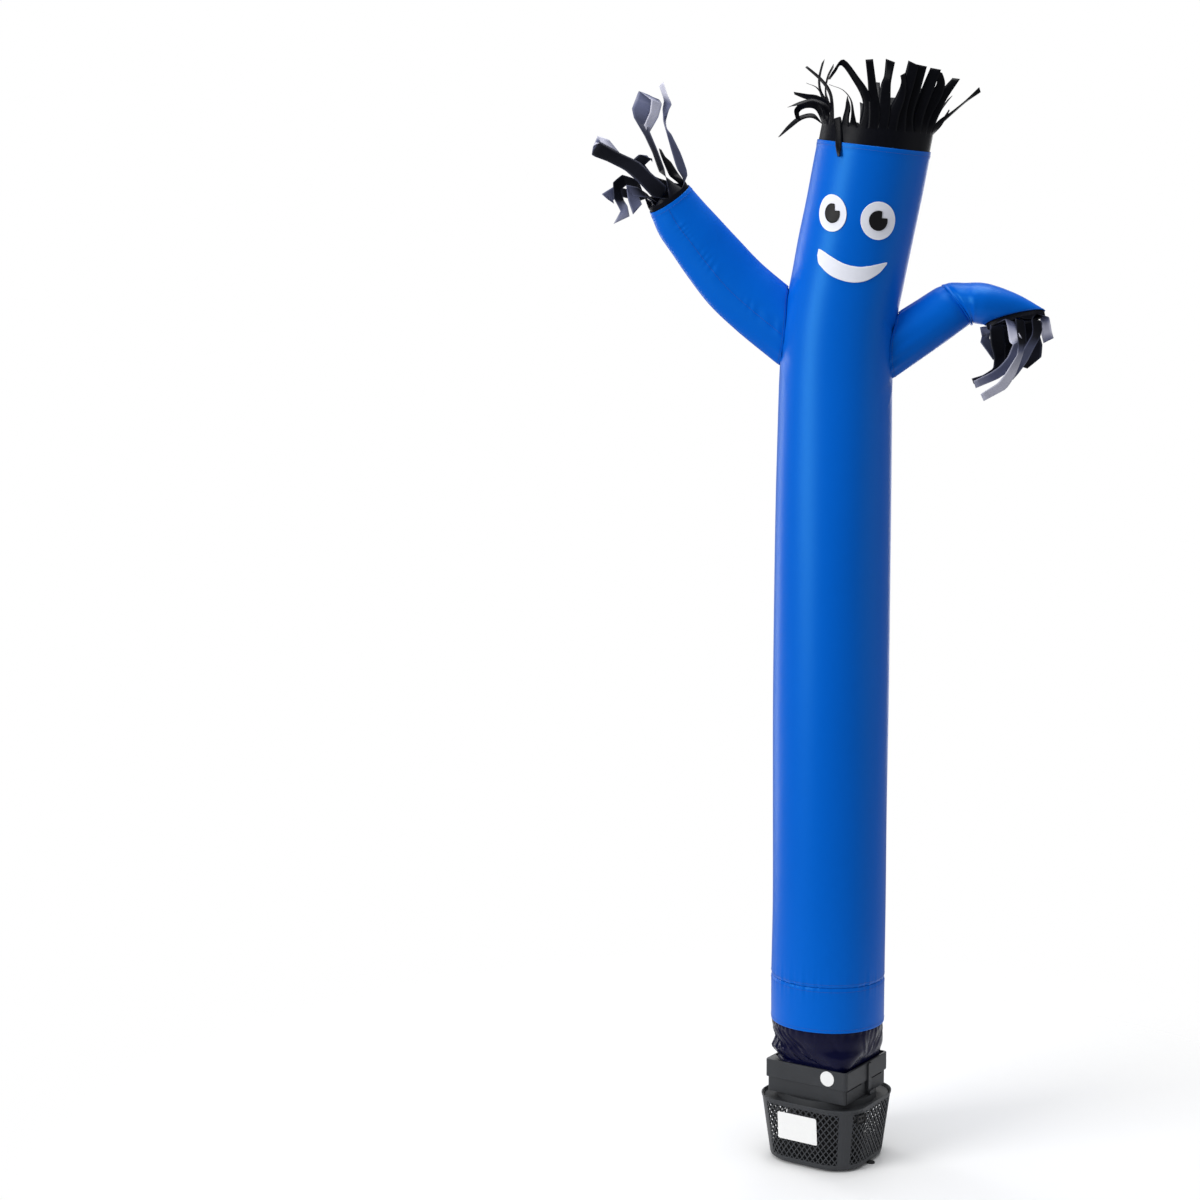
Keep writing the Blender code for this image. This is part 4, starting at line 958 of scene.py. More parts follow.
class BlowerSettings(bpy.types.PropertyGroup):
    """The floor blower."""

    plastic: tint_setting("Plastic Colour", "Colour of the moulded housing", (0.026, 0.028, 0.032))
    columns: count_setting("Diamonds Across", "Diamonds across each wall of the basket", 13, 4, 30)
    rows: count_setting("Diamonds Up", "Diamonds up each wall of the basket", 7, 2, 14)
    strut: length_setting("Strut Width", "Width of the bars between diamonds", 0.0023, 0.0008, 0.004)
    depth: length_setting("Wall Depth", "Depth of the basket's bars", 0.0024, 0.001, 0.005)


class StageSettings(bpy.types.PropertyGroup):
    """Floor, light and camera."""

    floor: tint_setting("Floor Colour", "Colour of the floor and backdrop", (0.93, 0.93, 0.93))
    key: bpy.props.FloatProperty(
        name="Key Light", description="Power of the tall soft light at the front left", default=112.0, min=0
    )
    fill: bpy.props.FloatProperty(
        name="Fill", description="Strength of the light from all round", default=0.32, min=0
    )


# Pieces


class DANCER_OT_tube(bpy.types.Operator):
    """Sew the tube and its foot band"""

    bl_idname = "dancer.tube"
    bl_label = "Tube"

    def execute(self, context):
        cloth = context.scene.dancer_cloth
        surface = coated_cloth("tube_cloth", cloth.blue, cloth.gloss, cloth.pitch)
        for name, node, slot, low, high, rows, spread in (
            (
                "dancer_tube", "body_tube", "blue_nylon", SEAM, HAIRLINE, 150,
                ((0, 0), (0.13, 0.020), (0.40, 0.62), (0.78, 0.86), (0.94, 0.985), (1, 1)),
            ),
            (
                "dancer_foot_band", "foot_band", "blue_nylon_band", HEM, SEAM - GAP, 34,
                ((0, 0), (0.3, 0.15), (0.55, 0.7), (1, 1)),
            ),
        ):
            shape = flat_sheet(192, rows, TUBE_GIRTH, high - low, spread)
            lay(shape.verts[:], lambda across, up, low=low, high=high: on_cloth(
                low + (high - low) * up, math.tau * across - math.pi
            ))
            sewn_round(shape)
            piece(name, shape, surface, [node], slot, cloth.wall)
        return {"FINISHED"}


class DANCER_OT_cuff(bpy.types.Operator):
    """Gather the navy cuff into the clamp frame"""

    bl_idname = "dancer.cuff"
    bl_label = "Cuff"

    def execute(self, context):
        cloth = context.scene.dancer_cloth
        surface = coated_cloth("cuff_cloth", cloth.navy, 0.24, cloth.pitch, 0.17, (0.78, 0.74, 1.0))
        low, high = CUFF[0][0], CUFF[-1][0]
        shape = flat_sheet(256, 96, TUBE_GIRTH, high - low, ((0, 0), (0.08, 0.2), (1, 1)))
        lay(shape.verts[:], lambda across, up: on_cuff(low + (high - low) * up, across % 1.0))
        sewn_round(shape)
        cuff = piece("dancer_cuff", shape, surface, ["cuff"], "navy_nylon", 0.0010)
        return {"FINISHED"}


class DANCER_OT_sleeves(bpy.types.Operator):
    """Sew the two sleeves"""

    bl_idname = "dancer.sleeves"
    bl_label = "Sleeves"

    def execute(self, context):
        cloth = context.scene.dancer_cloth
        surface = coated_cloth("sleeve_cloth", cloth.blue, cloth.gloss, cloth.pitch)
        for side, rows, seam, girth, slot in (
            ("raised", ARM_RAISED, math.radians(RAISED_SEAM), RAISED_GIRTH, "blue_nylon_raised"),
            ("bent", ARM_BENT, math.radians(BENT_SEAM), BENT_GIRTH, "blue_nylon_bent"),
        ):
            shape = flat_sheet(112, 170, girth, SLEEVE_MAP, (
                (0, 0), (0.18, 0.1), (0.34, 0.27), (0.60, 0.44), (0.93, 0.955), (1, 1)
            ))
            lay(shape.verts[:], lambda across, up, rows=rows, seam=seam: sleeve_point(
                rows, seam, up, seam + math.tau * across
            ))
            sewn_round(shape)
            piece(f"dancer_sleeve_{side}", shape, surface, [f"arm_{side}"], slot, cloth.wall)
        return {"FINISHED"}


def slit_sheet(count, columns, band_rows, strip_rows, width, length):
    """A flat sheet slit into strips above a band, with the band's points and each strip's points."""
    rows = band_rows + strip_rows
    shape = flat_sheet(count * columns, rows, width, length)
    for name in ("tone", "edge"):
        shape.verts.layers.float.new(name)
    layers = [shape.verts.layers.float[name] for name in ("tone", "edge")]
    band = band_rows / rows
    slits = [
        edge for edge in shape.edges
        if all(abs(vert.co.x * count - round(vert.co.x * count)) < 1e-4 for vert in edge.verts)
        and abs(edge.verts[0].co.x - edge.verts[1].co.x) < 1e-6
        and min(vert.co.y for vert in edge.verts) > band - 1e-4
        and 0.001 < edge.verts[0].co.x < 0.999
    ]
    bmesh.ops.split_edges(shape, edges=slits)
    strips = [set() for _ in range(count)]
    for face in shape.faces:
        middle = face.calc_center_median()
        if middle.y > band:
            strips[int(middle.x * count)].update(v for v in face.verts if v.co.y > band + 1e-4)
    loose = set().union(*strips)
    banded = [vert for vert in shape.verts if vert not in loose]
    return shape, layers, band, banded, [list(strip) for strip in strips]


def lay_strip(verts, number, count, band, stations, curl, tones, layers, cut=0.0, crisp=0.0):
    """Lays one strip between its two edges' stations: its middle stands off by its curl, its tip is cut
    askew, and it is creased at the stations as far as it is crisp."""
    table = np.array([(i, *one, *two) for i, (one, two) in enumerate(stations)])
    across, up = flat_points(verts)
    across = across * count - number
    up = (up - band) / (1 - band)
    place = up * (len(stations) - 1)

    def at(place):
        straight = np.stack([np.interp(place, table[:, 0], column) for column in table.T], -1)
        return straight * crisp + along(table, place) * (1 - crisp)

    found, ahead, behind = at(place), at(place + 0.05), at(place - 0.05)
    one, two = found[:, 1:4], found[:, 4:7]
    way = unit((ahead - behind)[:, 1:4] + (ahead - behind)[:, 4:7] + 1e-9)
    side = two - one
    face = unit(np.cross(side, way) + 1e-12)
    stand = curl * (1 - (2 * across - 1) ** 2) * np.sin(math.pi * np.clip(up * 1.1, 0, 1))
    spots = one + side * across[:, None] + face * stand[:, None]
    spots += way * (cut * (across - 0.5) * near(up, 1, 0.08))[:, None]
    # How much sheen and reflection is painted along the strip
    tone = np.interp(up, np.linspace(0, 1, len(tones)), tones)
    for vert, spot, pale, c in zip(verts, spots, tone, across):
        vert.co = spot
        vert[layers[0]] = pale
        # Marks the cut edges, where the finish paints a highlight
        vert[layers[1]] = 1.0 if min(c, 1 - c) < 0.01 else 0.0


def shown_stations(first, second, number, crown):
    """Stations of a strip by its places seen from the front, turned about its length where it looks thin."""
    forward, places = HAIR_SHOWN[number]
    root = (first + second) / 2
    path = [(root.x, root.z)] + [(crown.x + x / 1000, crown.z + z / 1000) for x, z, _ in places]
    stations = [(first, second)]
    for step, (_, _, width) in enumerate(places, 1):
        ahead = path[min(step + 1, len(path) - 1)]
        way = Vector((ahead[0] - path[step - 1][0], 0, ahead[1] - path[step - 1][1])).normalized()
        deep = math.sqrt(max(0.0, HAIR_WIDE**2 - width**2)) * 0.35 * (1 if number % 2 else -1)
        side = Vector((way.z * width / 2, deep, -way.x * width / 2)) / 1000
        middle = Vector((path[step][0], root.y + forward / 1000 * step / len(places), path[step][1]))
        stations.append((middle - side, middle + side))
    return stations


def hair_stations(first, second, lean, bow, tip):
    """Stations of a strip that bends from the head's line towards its tip's direction."""
    tip_lean, tip_bow, length, twist, early = tip
    middle = (first + second) / 2
    width = (second - first).length / 2
    across = (second - first).normalized()
    stations = [(first, second)]
    for step in range(1, HAIR_STEPS + 1):
        ease = min(1.0, early * (step - 0.5) / HAIR_STEPS)
        a = math.radians(lean + (tip_lean - lean) * ease)
        b = math.radians(bow + (tip_bow - bow) * ease)
        way = Vector((math.sin(a) * math.cos(b), -math.sin(b), math.cos(a) * math.cos(b)))
        middle = middle + way * length / HAIR_STEPS
        side = (across - way * across.dot(way)).normalized()
        side.rotate(Matrix.Rotation(math.radians(twist) * step / HAIR_STEPS, 3, way))
        stations.append((middle - side * width, middle + side * width))
    return stations


class DANCER_OT_hair(bpy.types.Operator):
    """Cut the hair's strips from their band and bend each one"""

    bl_idname = "dancer.hair"
    bl_label = "Hair"

    def execute(self, context):
        strip = context.scene.dancer_strips
        # The hair's strips get only a faint painted highlight at their cut edges
        surface = strip_cloth("hair_cloth", strip.black, strip.pale, 0.02)
        count = HAIR_COUNT
        shape, layers, band, banded, strips = slit_sheet(count, 4, 5, 24, HAIR_FLAT[0], HAIR_MAP)
        inside = -LINING - GAP
        top = HAIRLINE + HAIR_BAND
        crown, _, _, *leans = tube_frame(HAIRLINE)
        crown = Vector(crown)
        for vert in banded:
            vert[layers[0]] = 0.04
        for number, verts in enumerate(strips):
            edges = (number + HAIR_GAP / 2, number + 1 - HAIR_GAP / 2)
            first, second = (
                Vector(on_tube(top, math.tau * edge / count + math.pi, inside)) for edge in edges
            )
            if number in HAIR_SHOWN:
                stations = shown_stations(first, second, number, crown)
            else:
                stations = hair_stations(first, second, *np.degrees(leans), HAIR_BACK[number])
            uneven = math.sin(number * 2.4)
            lay_strip(
                verts, number, count, band, stations, strip.curl * (0.4 + 0.4 * uneven),
                (0.02, 0.01 + 0.02 * abs(uneven), 0.02), layers, 0.006 * uneven,
            )
        lay(banded, lambda across, up: on_tube(
            HAIRLINE - HAIR_TUCK + (HAIR_BAND + HAIR_TUCK) * up / band, math.tau * across + math.pi, inside
        ))
        bmesh.ops.remove_doubles(shape, verts=banded, dist=1e-5)
        face_outwards(shape)
        area = sum(face.calc_area() for face in shape.faces)
        hair = piece("dancer_hair", shape, surface, ["hair"], "black_strips", STRIP_WALL)
        return {"FINISHED"}


class DANCER_OT_hands(bpy.types.Operator):
    """Cut the strips at the wrists from their bands and bend each one"""

    bl_idname = "dancer.hands"
    bl_label = "Hands"

    def execute(self, context):
        strip = context.scene.dancer_strips
        for side, rows, tuck, tables, tones in (
            ("raised", ARM_RAISED, 0.20, FINGERS_RAISED, PAINTED_SHEEN_RAISED),
            ("bent", ARM_BENT, 0.50, FINGERS_BENT, PAINTED_SHEEN_BENT),
        ):
            # The hands' strips get a painted highlight along their cut edges
            surface = strip_cloth(f"hand_cloth_{side}", strip.black, strip.pale, 0.16)
            count, last = len(tables), len(rows) - 1
            shape, layers, band, banded, strips = slit_sheet(count, 6, 4, 30, *HAND_FLAT)
            inner = -LINING - 2 * GAP

            def ring(angle, place, out, further=0.0, rows=rows):
                return on_sleeve(rows, np.full_like(angle, place), angle, out, further)

            def banding(across, up, last=last, tuck=tuck, ring=ring, band=band):
                angle, share = math.tau * across, np.clip(up / band, 0, 1)[:, None]
                tucked, hem = ring(angle, last - tuck, inner - BAND_DRAW), ring(angle, last, inner)
                shown = ring(angle, last, inner, BAND_SHOWS)
                return np.where(
                    share < 0.5, tucked + (hem - tucked) * share * 2, hem + (shown - hem) * (share * 2 - 1)
                )

            hem = on_sleeve(rows, np.array(float(last)), np.array(0.0))
            hem = (hem + on_sleeve(rows, np.array(float(last)), np.array(math.pi))) / 2
            for number, (verts, table) in enumerate(zip(strips, tables)):
                edges = np.array([number + HAND_GAP / 2, number + 1 - HAND_GAP / 2]) / count * math.tau
                root = ring(edges, last, inner, BAND_SHOWS)
                stations = [(root[0], root[1])]
                for x_one, z_one, x_two, z_two, y, nearer in table:
                    seen = math.hypot(x_one - x_two, z_one - z_two)
                    deep = math.sqrt(max(0.0, STRIP_WIDE**2 - seen**2)) / 2 * nearer * 0.6
                    stations.append((
                        hem + np.array((x_one, y - deep, z_one)) / 1000,
                        hem + np.array((x_two, y + deep, z_two)) / 1000,
                    ))
                lay_strip(
                    verts, number, count, band, stations, strip.curl * 0.4, tones[number], layers, 0.0, 0.85
                )
            for vert in banded:
                vert[layers[0]] = 0.06
            lay(banded, banding)
            bmesh.ops.remove_doubles(shape, verts=banded, dist=1e-5)
            face_outwards(shape)
            for edge in shape.edges:
                edge.smooth = edge.calc_face_angle(0.0) < CREASED
            area = sum(face.calc_area() for face in shape.faces)
            hand = piece(
                f"dancer_hand_{side}", shape, surface, [f"fringe_{side}"], f"slate_strips_{side}", STRIP_WALL
            )
        return {"FINISHED"}


def on_face(across, height, level, out):
    """Points of the face's cloth, a patch slanted about its level where it has one: height and slant."""
    radius = tube_frame(height)[2]
    moved = across + (level[1] * (height - level[0]) if level else 0.0)
    return on_cloth(height, moved / radius, out)


def sewn_patch(name, shape, across, height, level, inside, surface, node, slot, layer=1, wall=PATCH):
    """A patch laid on the face as the first or second layer, its rim raised by how far inside it each
    point is."""
    edge = shape.verts.layers.float.new("edge")
    rim = np.exp(-((np.maximum(inside, 0) / RIM_WIDE) ** 2))
    out = LIFT + PATCH + (layer - 1) * (PATCH + 0.0004) + RIM_RISE * rim
    for vert, spot, share in zip(shape.verts, on_face(across, height, level, out), rim):
        vert.co = spot
        vert[edge] = share
    shape.normal_update()
    if sum(face.normal.y * face.calc_area() for face in shape.faces) > 0:
        bmesh.ops.reverse_faces(shape, faces=shape.faces[:])
    piece(name, shape, surface, [node], slot, wall)


class DANCER_OT_face(bpy.types.Operator):
    """Sew on the eyes, their pupils and the mouth"""

    bl_idname = "dancer.face"
    bl_label = "Face"

    def execute(self, context):
        white = context.scene.dancer_strips.white
        cloth = patch_cloth("patch_white", white, (0.93, 0.94, 0.99))
        ink = patch_cloth("patch_ink", (0.0025, 0.0023, 0.0030), (0.0015, 0.0015, 0.002))
        for side, sizes in EYES.items():
            level = sizes[1], EYE_SLANT[side]
            self.oval(side, sizes[:4], level, cloth)
            self.pupil(side, sizes[4:], level, ink)
        self.mouth(cloth)
        return {"FINISHED"}

    @staticmethod
    def oval(side, size, level, surface):
        across, height, half, tall = size
        shape = flat_sheet(72, 9, math.tau * half, tall, ((0, 0), (0.5, 0.75), (0.8, 0.95), (1, 1)))
        lay(shape.verts[:], lambda turn, reach: np.stack((
            reach * np.sin(math.tau * turn), reach * np.cos(math.tau * turn), 0 * turn
        ), -1))
        bmesh.ops.remove_doubles(shape, verts=shape.verts[:], dist=1e-5)
        right, up = flat_points(shape.verts)
        sewn_patch(
            f"dancer_eye_{side}", shape, across + half * right, height + tall * up, level,
            (1 - np.hypot(right, up)) * half, surface, f"eye_{side}", f"eye_white_{side}",
        )

    @staticmethod
    def pupil(side, size, level, surface):
        across, height, half, tall = size
        count = 48
        t = -np.cos(math.pi * (np.arange(count + 1) + 0.35) / (count + 0.7))
        t[np.abs(t - NOTCH_FROM).argmin()] = NOTCH_FROM
        rise = np.sqrt(1 - t * t)
        notch = NOTCH_LEFT + (NOTCH_RIGHT - NOTCH_LEFT) * (t - NOTCH_FROM) / (1 - NOTCH_FROM)
        high = np.where(t >= NOTCH_FROM, np.minimum(rise, notch), rise)
        shape = flat_sheet(count, 12, 2 * half, 2 * tall)
        right, up = flat_points(shape.verts)
        column = np.rint(right * count).astype(int)
        up = high[column] * up - rise[column] * (1 - up)
        sewn_patch(
            f"dancer_pupil_{side}", shape, across + half * t[column], height + tall * up, level,
            np.ones_like(up), surface, f"pupil_{side}", f"pupil_ink_{side}", 2, PATCH * 0.8,
        )

    @staticmethod
    def mouth(surface):
        shape = flat_sheet(96, 12, 0.145, 0.03)
        right, up = flat_points(shape.verts)
        first, last = MOUTH[0][0], MOUTH[-1][0]
        across = first + (last - first) * (right * 0.9 + 0.1 * np.sin(right * math.pi / 2) ** 2)
        _, low, high = along(MOUTH, across).T / 1000
        height = MOUTH_HEIGHT + low + (high - low) * up
        inside = np.minimum(up, 1 - up) * (high - low)
        inside = np.minimum(inside, np.minimum(across - first, last - across) / 1000 + 0.0001)
        sewn_patch(
            "dancer_mouth", shape, across / 1000, height, None, inside, surface, "mouth", "mouth_white"
        )


class DANCER_OT_stitching(bpy.types.Operator):
    """Sew the rows of stitches along the seams and hems"""

    bl_idname = "dancer.stitching"
    bl_label = "Stitching"

    def execute(self, context):
        surface = thread("seam_thread", context.scene.dancer_cloth.thread)
        round_ = np.linspace(-math.pi, math.pi, 361)
        for name, low, high, below in (
            ("tube", SEAM, HAIRLINE, "dancer_foot_band"), ("foot_band", HEM, SEAM - GAP, "dancer_cuff")
        ):
            shape = bmesh.new()
            for height in (low + 0.0060, high - 0.0080):
                stitches(shape, on_cloth(np.full_like(round_, height), round_, STITCH_RISE))
            heights = np.linspace(low + 0.007, high - 0.010, round((high - low) * 250))
            for side in (-1, 1):
                angle = np.full_like(heights, side * (math.pi - 0.036))
                stitches(shape, on_cloth(heights, angle, STITCH_RISE))
            sewn = piece(f"dancer_stitches_{name}", shape, surface)
        for side, rows, seam, area in (
            ("raised", ARM_RAISED, RAISED_SEAM, 0.106), ("bent", ARM_BENT, BENT_SEAM, 0.079)
        ):
            shape = bmesh.new()
            seam = math.radians(seam)
            for share in (0.010, 0.968):
                stitches(shape, sleeve_point(rows, seam, np.full_like(round_, share), round_, STITCH_RISE))
            shares = np.linspace(0.015, 0.965, 200)
            beside = np.full_like(shares, seam + 0.07)
            stitches(shape, sleeve_point(rows, seam, shares, beside, STITCH_RISE))
            sewn = piece(f"dancer_stitches_{side}", shape, surface)
        return {"FINISHED"}


# Blower


class DANCER_OT_basket(bpy.types.Operator):
    """Mould the blower's basket of diamonds"""

    bl_idname = "dancer.basket"
    bl_label = "Basket"

    def execute(self, context):
        blower = context.scene.dancer_blower
        surface = moulded("basket_plastic", blower.plastic, 0.46)
        side = QUARTER - CORNER_BAND
        columns, band = blower.columns, 4
        low, high = BASKET_WALL[4][0], BASKET_WALL[5][0]
        reach = [
            wall * QUARTER - side / 2 + step
            for wall in range(4)
            for step in (
                *np.linspace(0, side, columns, endpoint=False),
                *(side + np.linspace(0, CORNER_BAND, band, endpoint=False)),
            )
        ]
        reach.append(4 * QUARTER - side / 2)
        heights = [row[0] for row in BASKET_WALL[:4]]
        heights += list(np.linspace(low, high, blower.rows + 1)) + [row[0] for row in BASKET_WALL[6:]]
        shape = flat_sheet(len(reach) - 1, len(heights) - 1, 4 * QUARTER, RIM - BASKET_FLOOR)
        for vert in shape.verts:
            vert.co.x = reach[round(vert.co.x * (len(reach) - 1))]
            vert.co.y = heights[round(vert.co.y * (len(heights) - 1))]
        cells = [face for face in shape.faces if self.in_lattice(face.calc_center_median(), side, low, high)]
        hubs = set(bmesh.ops.poke(shape, faces=cells)["verts"])
        shared = [
            edge for edge in shape.edges
            if not hubs & set(edge.verts) and len(edge.link_faces) == 2
            and all(hubs & set(face.verts) for face in edge.link_faces)
        ]
        bmesh.ops.dissolve_edges(shape, edges=shared, use_verts=False)
        holes = [face for face in shape.faces if hubs & set(face.verts)]
        bmesh.ops.inset_individual(shape, faces=holes, thickness=blower.strut / 2, use_even_offset=True)
        bmesh.ops.delete(shape, geom=holes, context="FACES")
        lay(shape.verts[:], on_basket)
        sewn_round(shape)
        basket = piece(
            "blower_basket", shape, surface, ["grille_basket"], "charcoal_plastic", blower.depth, smooth=False
        )
        rounded(basket, 0.0003, 1, 40)
        return {"FINISHED"}

    @staticmethod
    def in_lattice(middle, side, low, high):
        wall = (middle.x + side / 2) // QUARTER
        within = middle.x - wall * QUARTER
        return abs(within) < side / 2 and low < middle.y < high


def node_shape(node):
    """A node's own shape, its points merged and its flat faces whole."""
    shape = bmesh.new()
    shape.from_mesh(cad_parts[node].data)
    bmesh.ops.remove_doubles(shape, verts=shape.verts[:], dist=1e-5)
    bmesh.ops.dissolve_limit(
        shape, angle_limit=math.radians(0.5), use_dissolve_boundaries=False,
        verts=shape.verts[:], edges=shape.edges[:],
    )
    return shape


def box(shape, size, centre=(0, 0, 0)):
    """Adds a box to a shape and gives its points."""
    made = bmesh.ops.create_cube(shape, size=1.0)["verts"]
    bmesh.ops.scale(shape, verts=made, vec=size)
    bmesh.ops.translate(shape, verts=made, vec=centre)
    return made


def grooved(made, boxes):
    """Cuts grooves into a piece, boxes square to the blower's walls given by their centre and size."""
    for number, (centre, size) in enumerate(boxes):
        shape = bmesh.new()
        groove = box(shape, size, Vector(centre) + Vector((0, 0, DATUM)))
        bmesh.ops.rotate(shape, verts=groove, cent=(0, 0, 0), matrix=Matrix.Rotation(TURN, 3, "Z"))
        cut = made.modifiers.new(f"Groove {number}", "BOOLEAN")
        cut.operation, cut.object, cut.solver = "DIFFERENCE", placed("groove", shape), "EXACT"
    bpy.context.view_layer.update()
    ready = bpy.data.meshes.new_from_object(made.evaluated_get(bpy.context.evaluated_depsgraph_get()))
    for cut in list(made.modifiers):
        bpy.data.objects.remove(cut.object)
        made.modifiers.remove(cut)
    made.data = ready


class DANCER_OT_clamp(bpy.types.Operator):
    """Mould the clamp frame, the duct and the lid"""

    bl_idname = "dancer.clamp"
    bl_label = "Clamp Frame and Duct"

    def execute(self, context):
        plastic = context.scene.dancer_blower.plastic
        framed = node_shape("clamp_frame")
        web = bmesh.ops.create_cone(
            framed, cap_ends=True, segments=3, radius1=WEB_RADIUS, radius2=WEB_RADIUS, depth=WEB_THICK,
        )["verts"]
        bmesh.ops.scale(framed, verts=web, vec=(3**0.5, 1, 1))
        corner = Matrix.Rotation(TURN + math.radians(135), 4, "Z")
        out = (FRAME_HALF - FRAME_WALL) * 2**0.5 - WEB_RADIUS
        place = Matrix.Translation((0, out, WEB_HEIGHT + DATUM))
        bmesh.ops.transform(framed, verts=web, matrix=corner @ place)
        clamp = piece(
            "blower_clamp_frame", framed, moulded("clamp_plastic", plastic, 0.44),
            ["clamp_frame"], "clamp_plastic", lift=0, smooth=False,
        )
        rounded(clamp, 0.0007)
        duct = piece(
            "blower_duct", node_shape("duct"), moulded("duct_plastic", shaded(plastic, 0.92)[:3], 0.48),
            ["duct"], "duct_plastic", lift=0, smooth=False,
        )
        grooved(duct, [((DUCT_HALF, *place), size) for place, size in DUCT_GROOVES])
        rounded(duct, 0.0006)
        lid = piece(
            "blower_lid", node_shape("lid"), moulded("lid_plastic", shaded(plastic, 0.75)[:3], 0.62),
            ["lid"], "lid_plastic", lift=0,
        )
        rounded(lid, 0.0012, 3)
        return {"FINISHED"}


class DANCER_OT_plates(bpy.types.Operator):
    """Stick on the blank label and round sticker, and fit the power inlet"""

    bl_idname = "dancer.plates"
    bl_label = "Label, Sticker and Inlet"

    def execute(self, context):
        sheet = paper("blank_paper", (0.86, 0.86, 0.85))
        shape = bmesh.new()
        box(shape, LABEL_SIZE)
        upright = [edge for edge in shape.edges if abs(edge.verts[0].co.y - edge.verts[1].co.y) > 1e-5]
        bmesh.ops.bevel(
            shape, geom=upright, offset=LABEL_CORNER, segments=6, profile=0.5, affect="EDGES", material=-1
        )
        bmesh.ops.translate(shape, verts=shape.verts[:], vec=(0, -LABEL_SIZE[1] / 2, 0))
        bmesh.ops.transform(shape, verts=shape.verts[:], matrix=basket_place(*LABEL))
        piece("blower_label", shape, sheet, ["rating_label"], "label_paper", smooth=False)

        shape = bmesh.new()
        across, height = STICKER
        place = Matrix.Translation((across, -FRAME_HALF - GAP - 0.0003, height))
        bmesh.ops.create_cone(
            shape, cap_ends=True, segments=64, radius1=STICKER_RADIUS, radius2=STICKER_RADIUS,
            depth=STICKER_THICK,
            matrix=Matrix.Rotation(TURN, 4, "Z") @ place @ Matrix.Rotation(math.pi / 2, 4, "X"),
        )
        piece("blower_sticker", shape, sheet, ["round_sticker"], "sticker_paper", smooth=False)

        shape = bmesh.new()
        box(shape, INLET_SIZE)
        front = min(shape.faces, key=lambda face: face.calc_center_median().y)
        bmesh.ops.inset_region(shape, faces=[front], thickness=INLET_LIP)
        bmesh.ops.translate(shape, verts=front.verts[:], vec=(0, INLET_DEEP, 0))
        for across in (-PIN_SPACE, PIN_SPACE):
            box(shape, PIN_SIZE, (across, 0.0002, 0))
        bmesh.ops.translate(shape, verts=shape.verts[:], vec=(0, -INLET_SIZE[1] / 2, 0))
        bmesh.ops.transform(shape, verts=shape.verts[:], matrix=basket_place(*INLET))
        inlet = piece(
            "blower_inlet", shape, moulded("inlet_plastic", (0.008, 0.008, 0.009), 0.4), ["power_inlet"],
            "inlet_plastic", smooth=False,
        )
        rounded(inlet, 0.0003, 1)
        return {"FINISHED"}


class DANCER_OT_base(bpy.types.Operator):
    """Finish the base, the fan's drum and the feet"""

    bl_idname = "dancer.base"
    bl_label = "Base, Fan and Feet"

    def execute(self, context):
        plastic = context.scene.dancer_blower.plastic
        soles = rubber("foot_rubber_finish", (0.016, 0.016, 0.017))
        finishes = {
            "base_plate": moulded("pan_plastic", shaded(plastic, 0.6)[:3], 0.55),
            "fan_housing": moulded("fan_plastic", (0.007, 0.007, 0.008), 0.6),
            **{f"foot_{number}": soles for number in range(1, 5)},
        }
        for node, surface in finishes.items():
            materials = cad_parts[node].data.materials
            materials.clear()
            materials.append(surface)
        return {"FINISHED"}


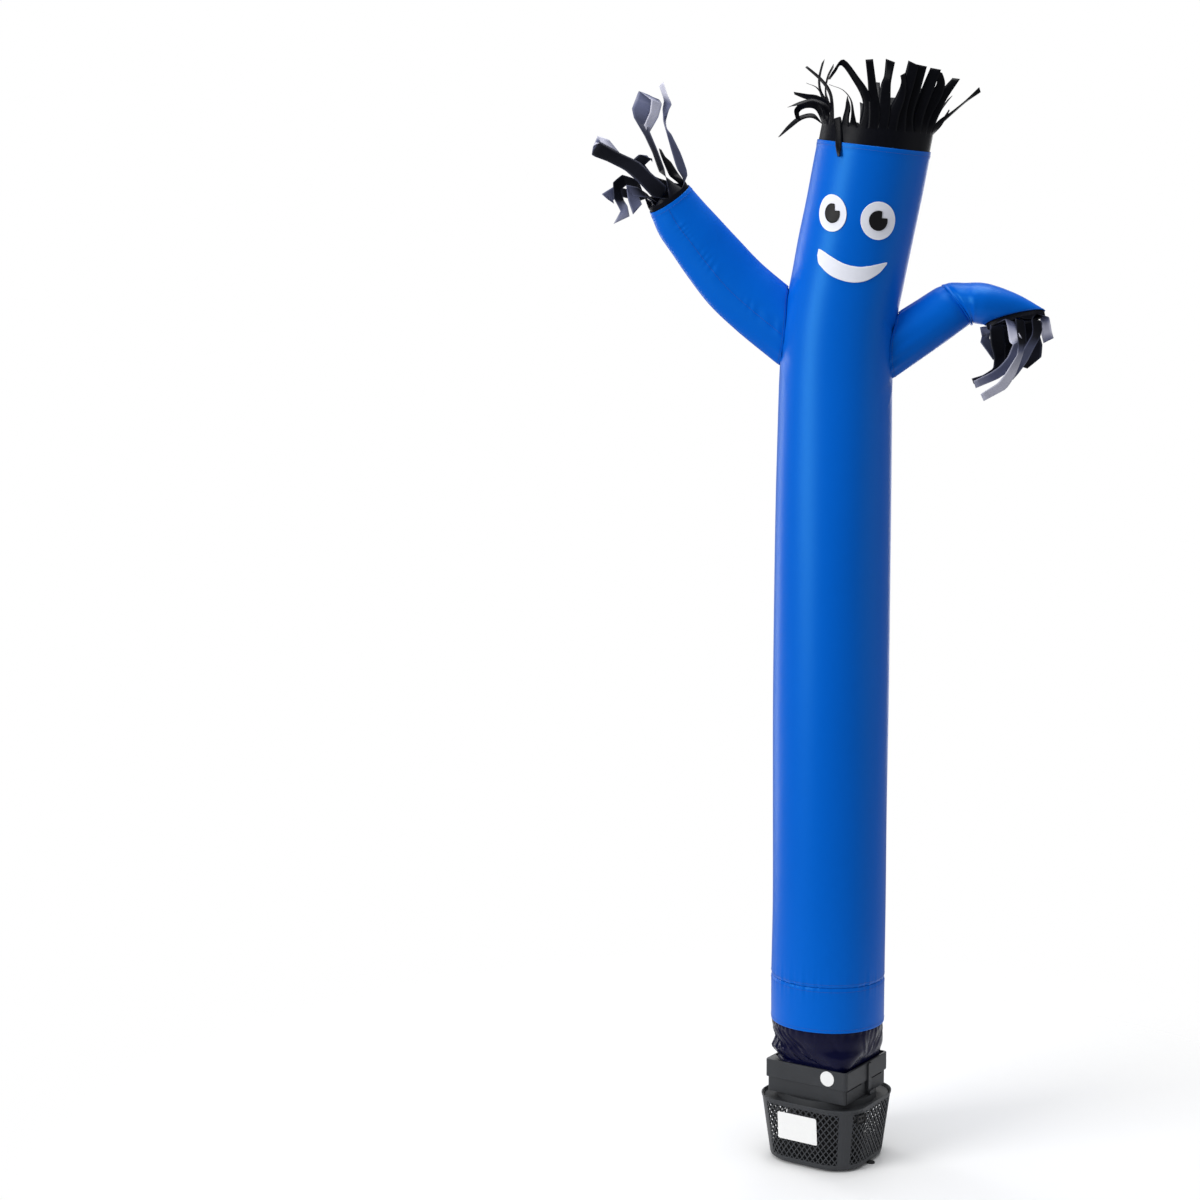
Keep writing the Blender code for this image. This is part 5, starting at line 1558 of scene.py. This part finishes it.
class DANCER_OT_stage(bpy.types.Operator):
    """Set the floor, the lights and the camera"""

    bl_idname = "dancer.stage"
    bl_label = "Stage"

    def execute(self, context):
        scene = context.scene
        stage = scene.dancer_stage
        shape = bmesh.new()
        bmesh.ops.create_circle(shape, cap_ends=True, segments=96, radius=4.0)
        floor = placed("studio_floor", shape)
        floor.data.materials.append(floor_finish("studio_white", stage.floor))

        for name, azimuth, distance, height, size, share in LIGHTS:
            light = bpy.data.lights.new(name, "AREA")
            light.shape = "RECTANGLE"
            light.size, light.size_y = size
            light.energy = stage.key * share
            lamp = bpy.data.objects.new(name, light)
            turn = math.radians(azimuth)
            lamp.location = (distance * math.sin(turn), -distance * math.cos(turn), height)
            lamp.rotation_euler = (LIT - lamp.location).to_track_quat("-Z", "Y").to_euler()
            scene.collection.objects.link(lamp)

        world = bpy.data.worlds.new("studio")
        world.use_nodes = True
        sky = Nodes(world.node_tree)
        sky.tree.nodes.remove(sky.tree.nodes["Background"])
        room, white = (
            sky.node("ShaderNodeBackground", None, {"Color": colour, "Strength": strength})["Background"]
            for colour, strength in (((0.95, 0.97, 1.0, 1.0), stage.fill), ((1.0, 1.0, 1.0, 1.0), 1.0))
        )
        seen = sky.node("ShaderNodeLightPath")["Is Camera Ray"]
        shown = sky.node("ShaderNodeMixShader", None, {0: seen, 1: room, 2: white})["Shader"]
        sky.feed(sky.tree.nodes["World Output"].inputs["Surface"], shown)
        scene.world = world
        scene.view_settings.view_transform = "Standard"

        camera = bpy.data.cameras.new("camera")
        camera.lens = 58.3
        camera.sensor_width = 36.0
        camera.clip_end = 100.0
        eye = bpy.data.objects.new("camera", camera)
        eye.location = (0.0, -3.883, 1.425)
        eye.rotation_euler = (math.radians(90 - 4.414), 0.0, math.radians(6.797))
        scene.collection.objects.link(eye)
        scene.camera = eye
        return {"FINISHED"}


class DANCER_PT_panel(bpy.types.Panel):
    """The dancer's settings and pieces"""

    bl_idname = "DANCER_PT_panel"
    bl_label = "Tube Dancer"
    bl_space_type = "VIEW_3D"
    bl_region_type = "UI"
    bl_category = "Dancer"

    def draw(self, context):
        for group, settings in SETTINGS.items():
            part = self.layout.box()
            part.label(text=settings.__doc__)
            for name in settings.__annotations__:
                part.prop(getattr(context.scene, group), name)
        for operator in PIECES:
            self.layout.operator(operator.bl_idname)


SETTINGS = {
    "dancer_cloth": ClothSettings,
    "dancer_strips": StripSettings,
    "dancer_blower": BlowerSettings,
    "dancer_stage": StageSettings,
}
PIECES = (
    DANCER_OT_stage,
    DANCER_OT_tube,
    DANCER_OT_cuff,
    DANCER_OT_sleeves,
    DANCER_OT_hair,
    DANCER_OT_hands,
    DANCER_OT_face,
    DANCER_OT_stitching,
    DANCER_OT_basket,
    DANCER_OT_clamp,
    DANCER_OT_plates,
    DANCER_OT_base,
)


def register():
    for group, settings in SETTINGS.items():
        bpy.utils.register_class(settings)
        setattr(bpy.types.Scene, group, bpy.props.PointerProperty(type=settings))
    for kind in (*PIECES, DANCER_PT_panel):
        bpy.utils.register_class(kind)


def unregister():
    for kind in reversed((*PIECES, DANCER_PT_panel)):
        bpy.utils.unregister_class(kind)
    for group, settings in reversed(SETTINGS.items()):
        delattr(bpy.types.Scene, group)
        bpy.utils.unregister_class(settings)


def main():
    register()
    for operator in PIECES:
        group, name = operator.bl_idname.split(".")
        getattr(getattr(bpy.ops, group), name)()


if __name__ == "__main__":
    main()
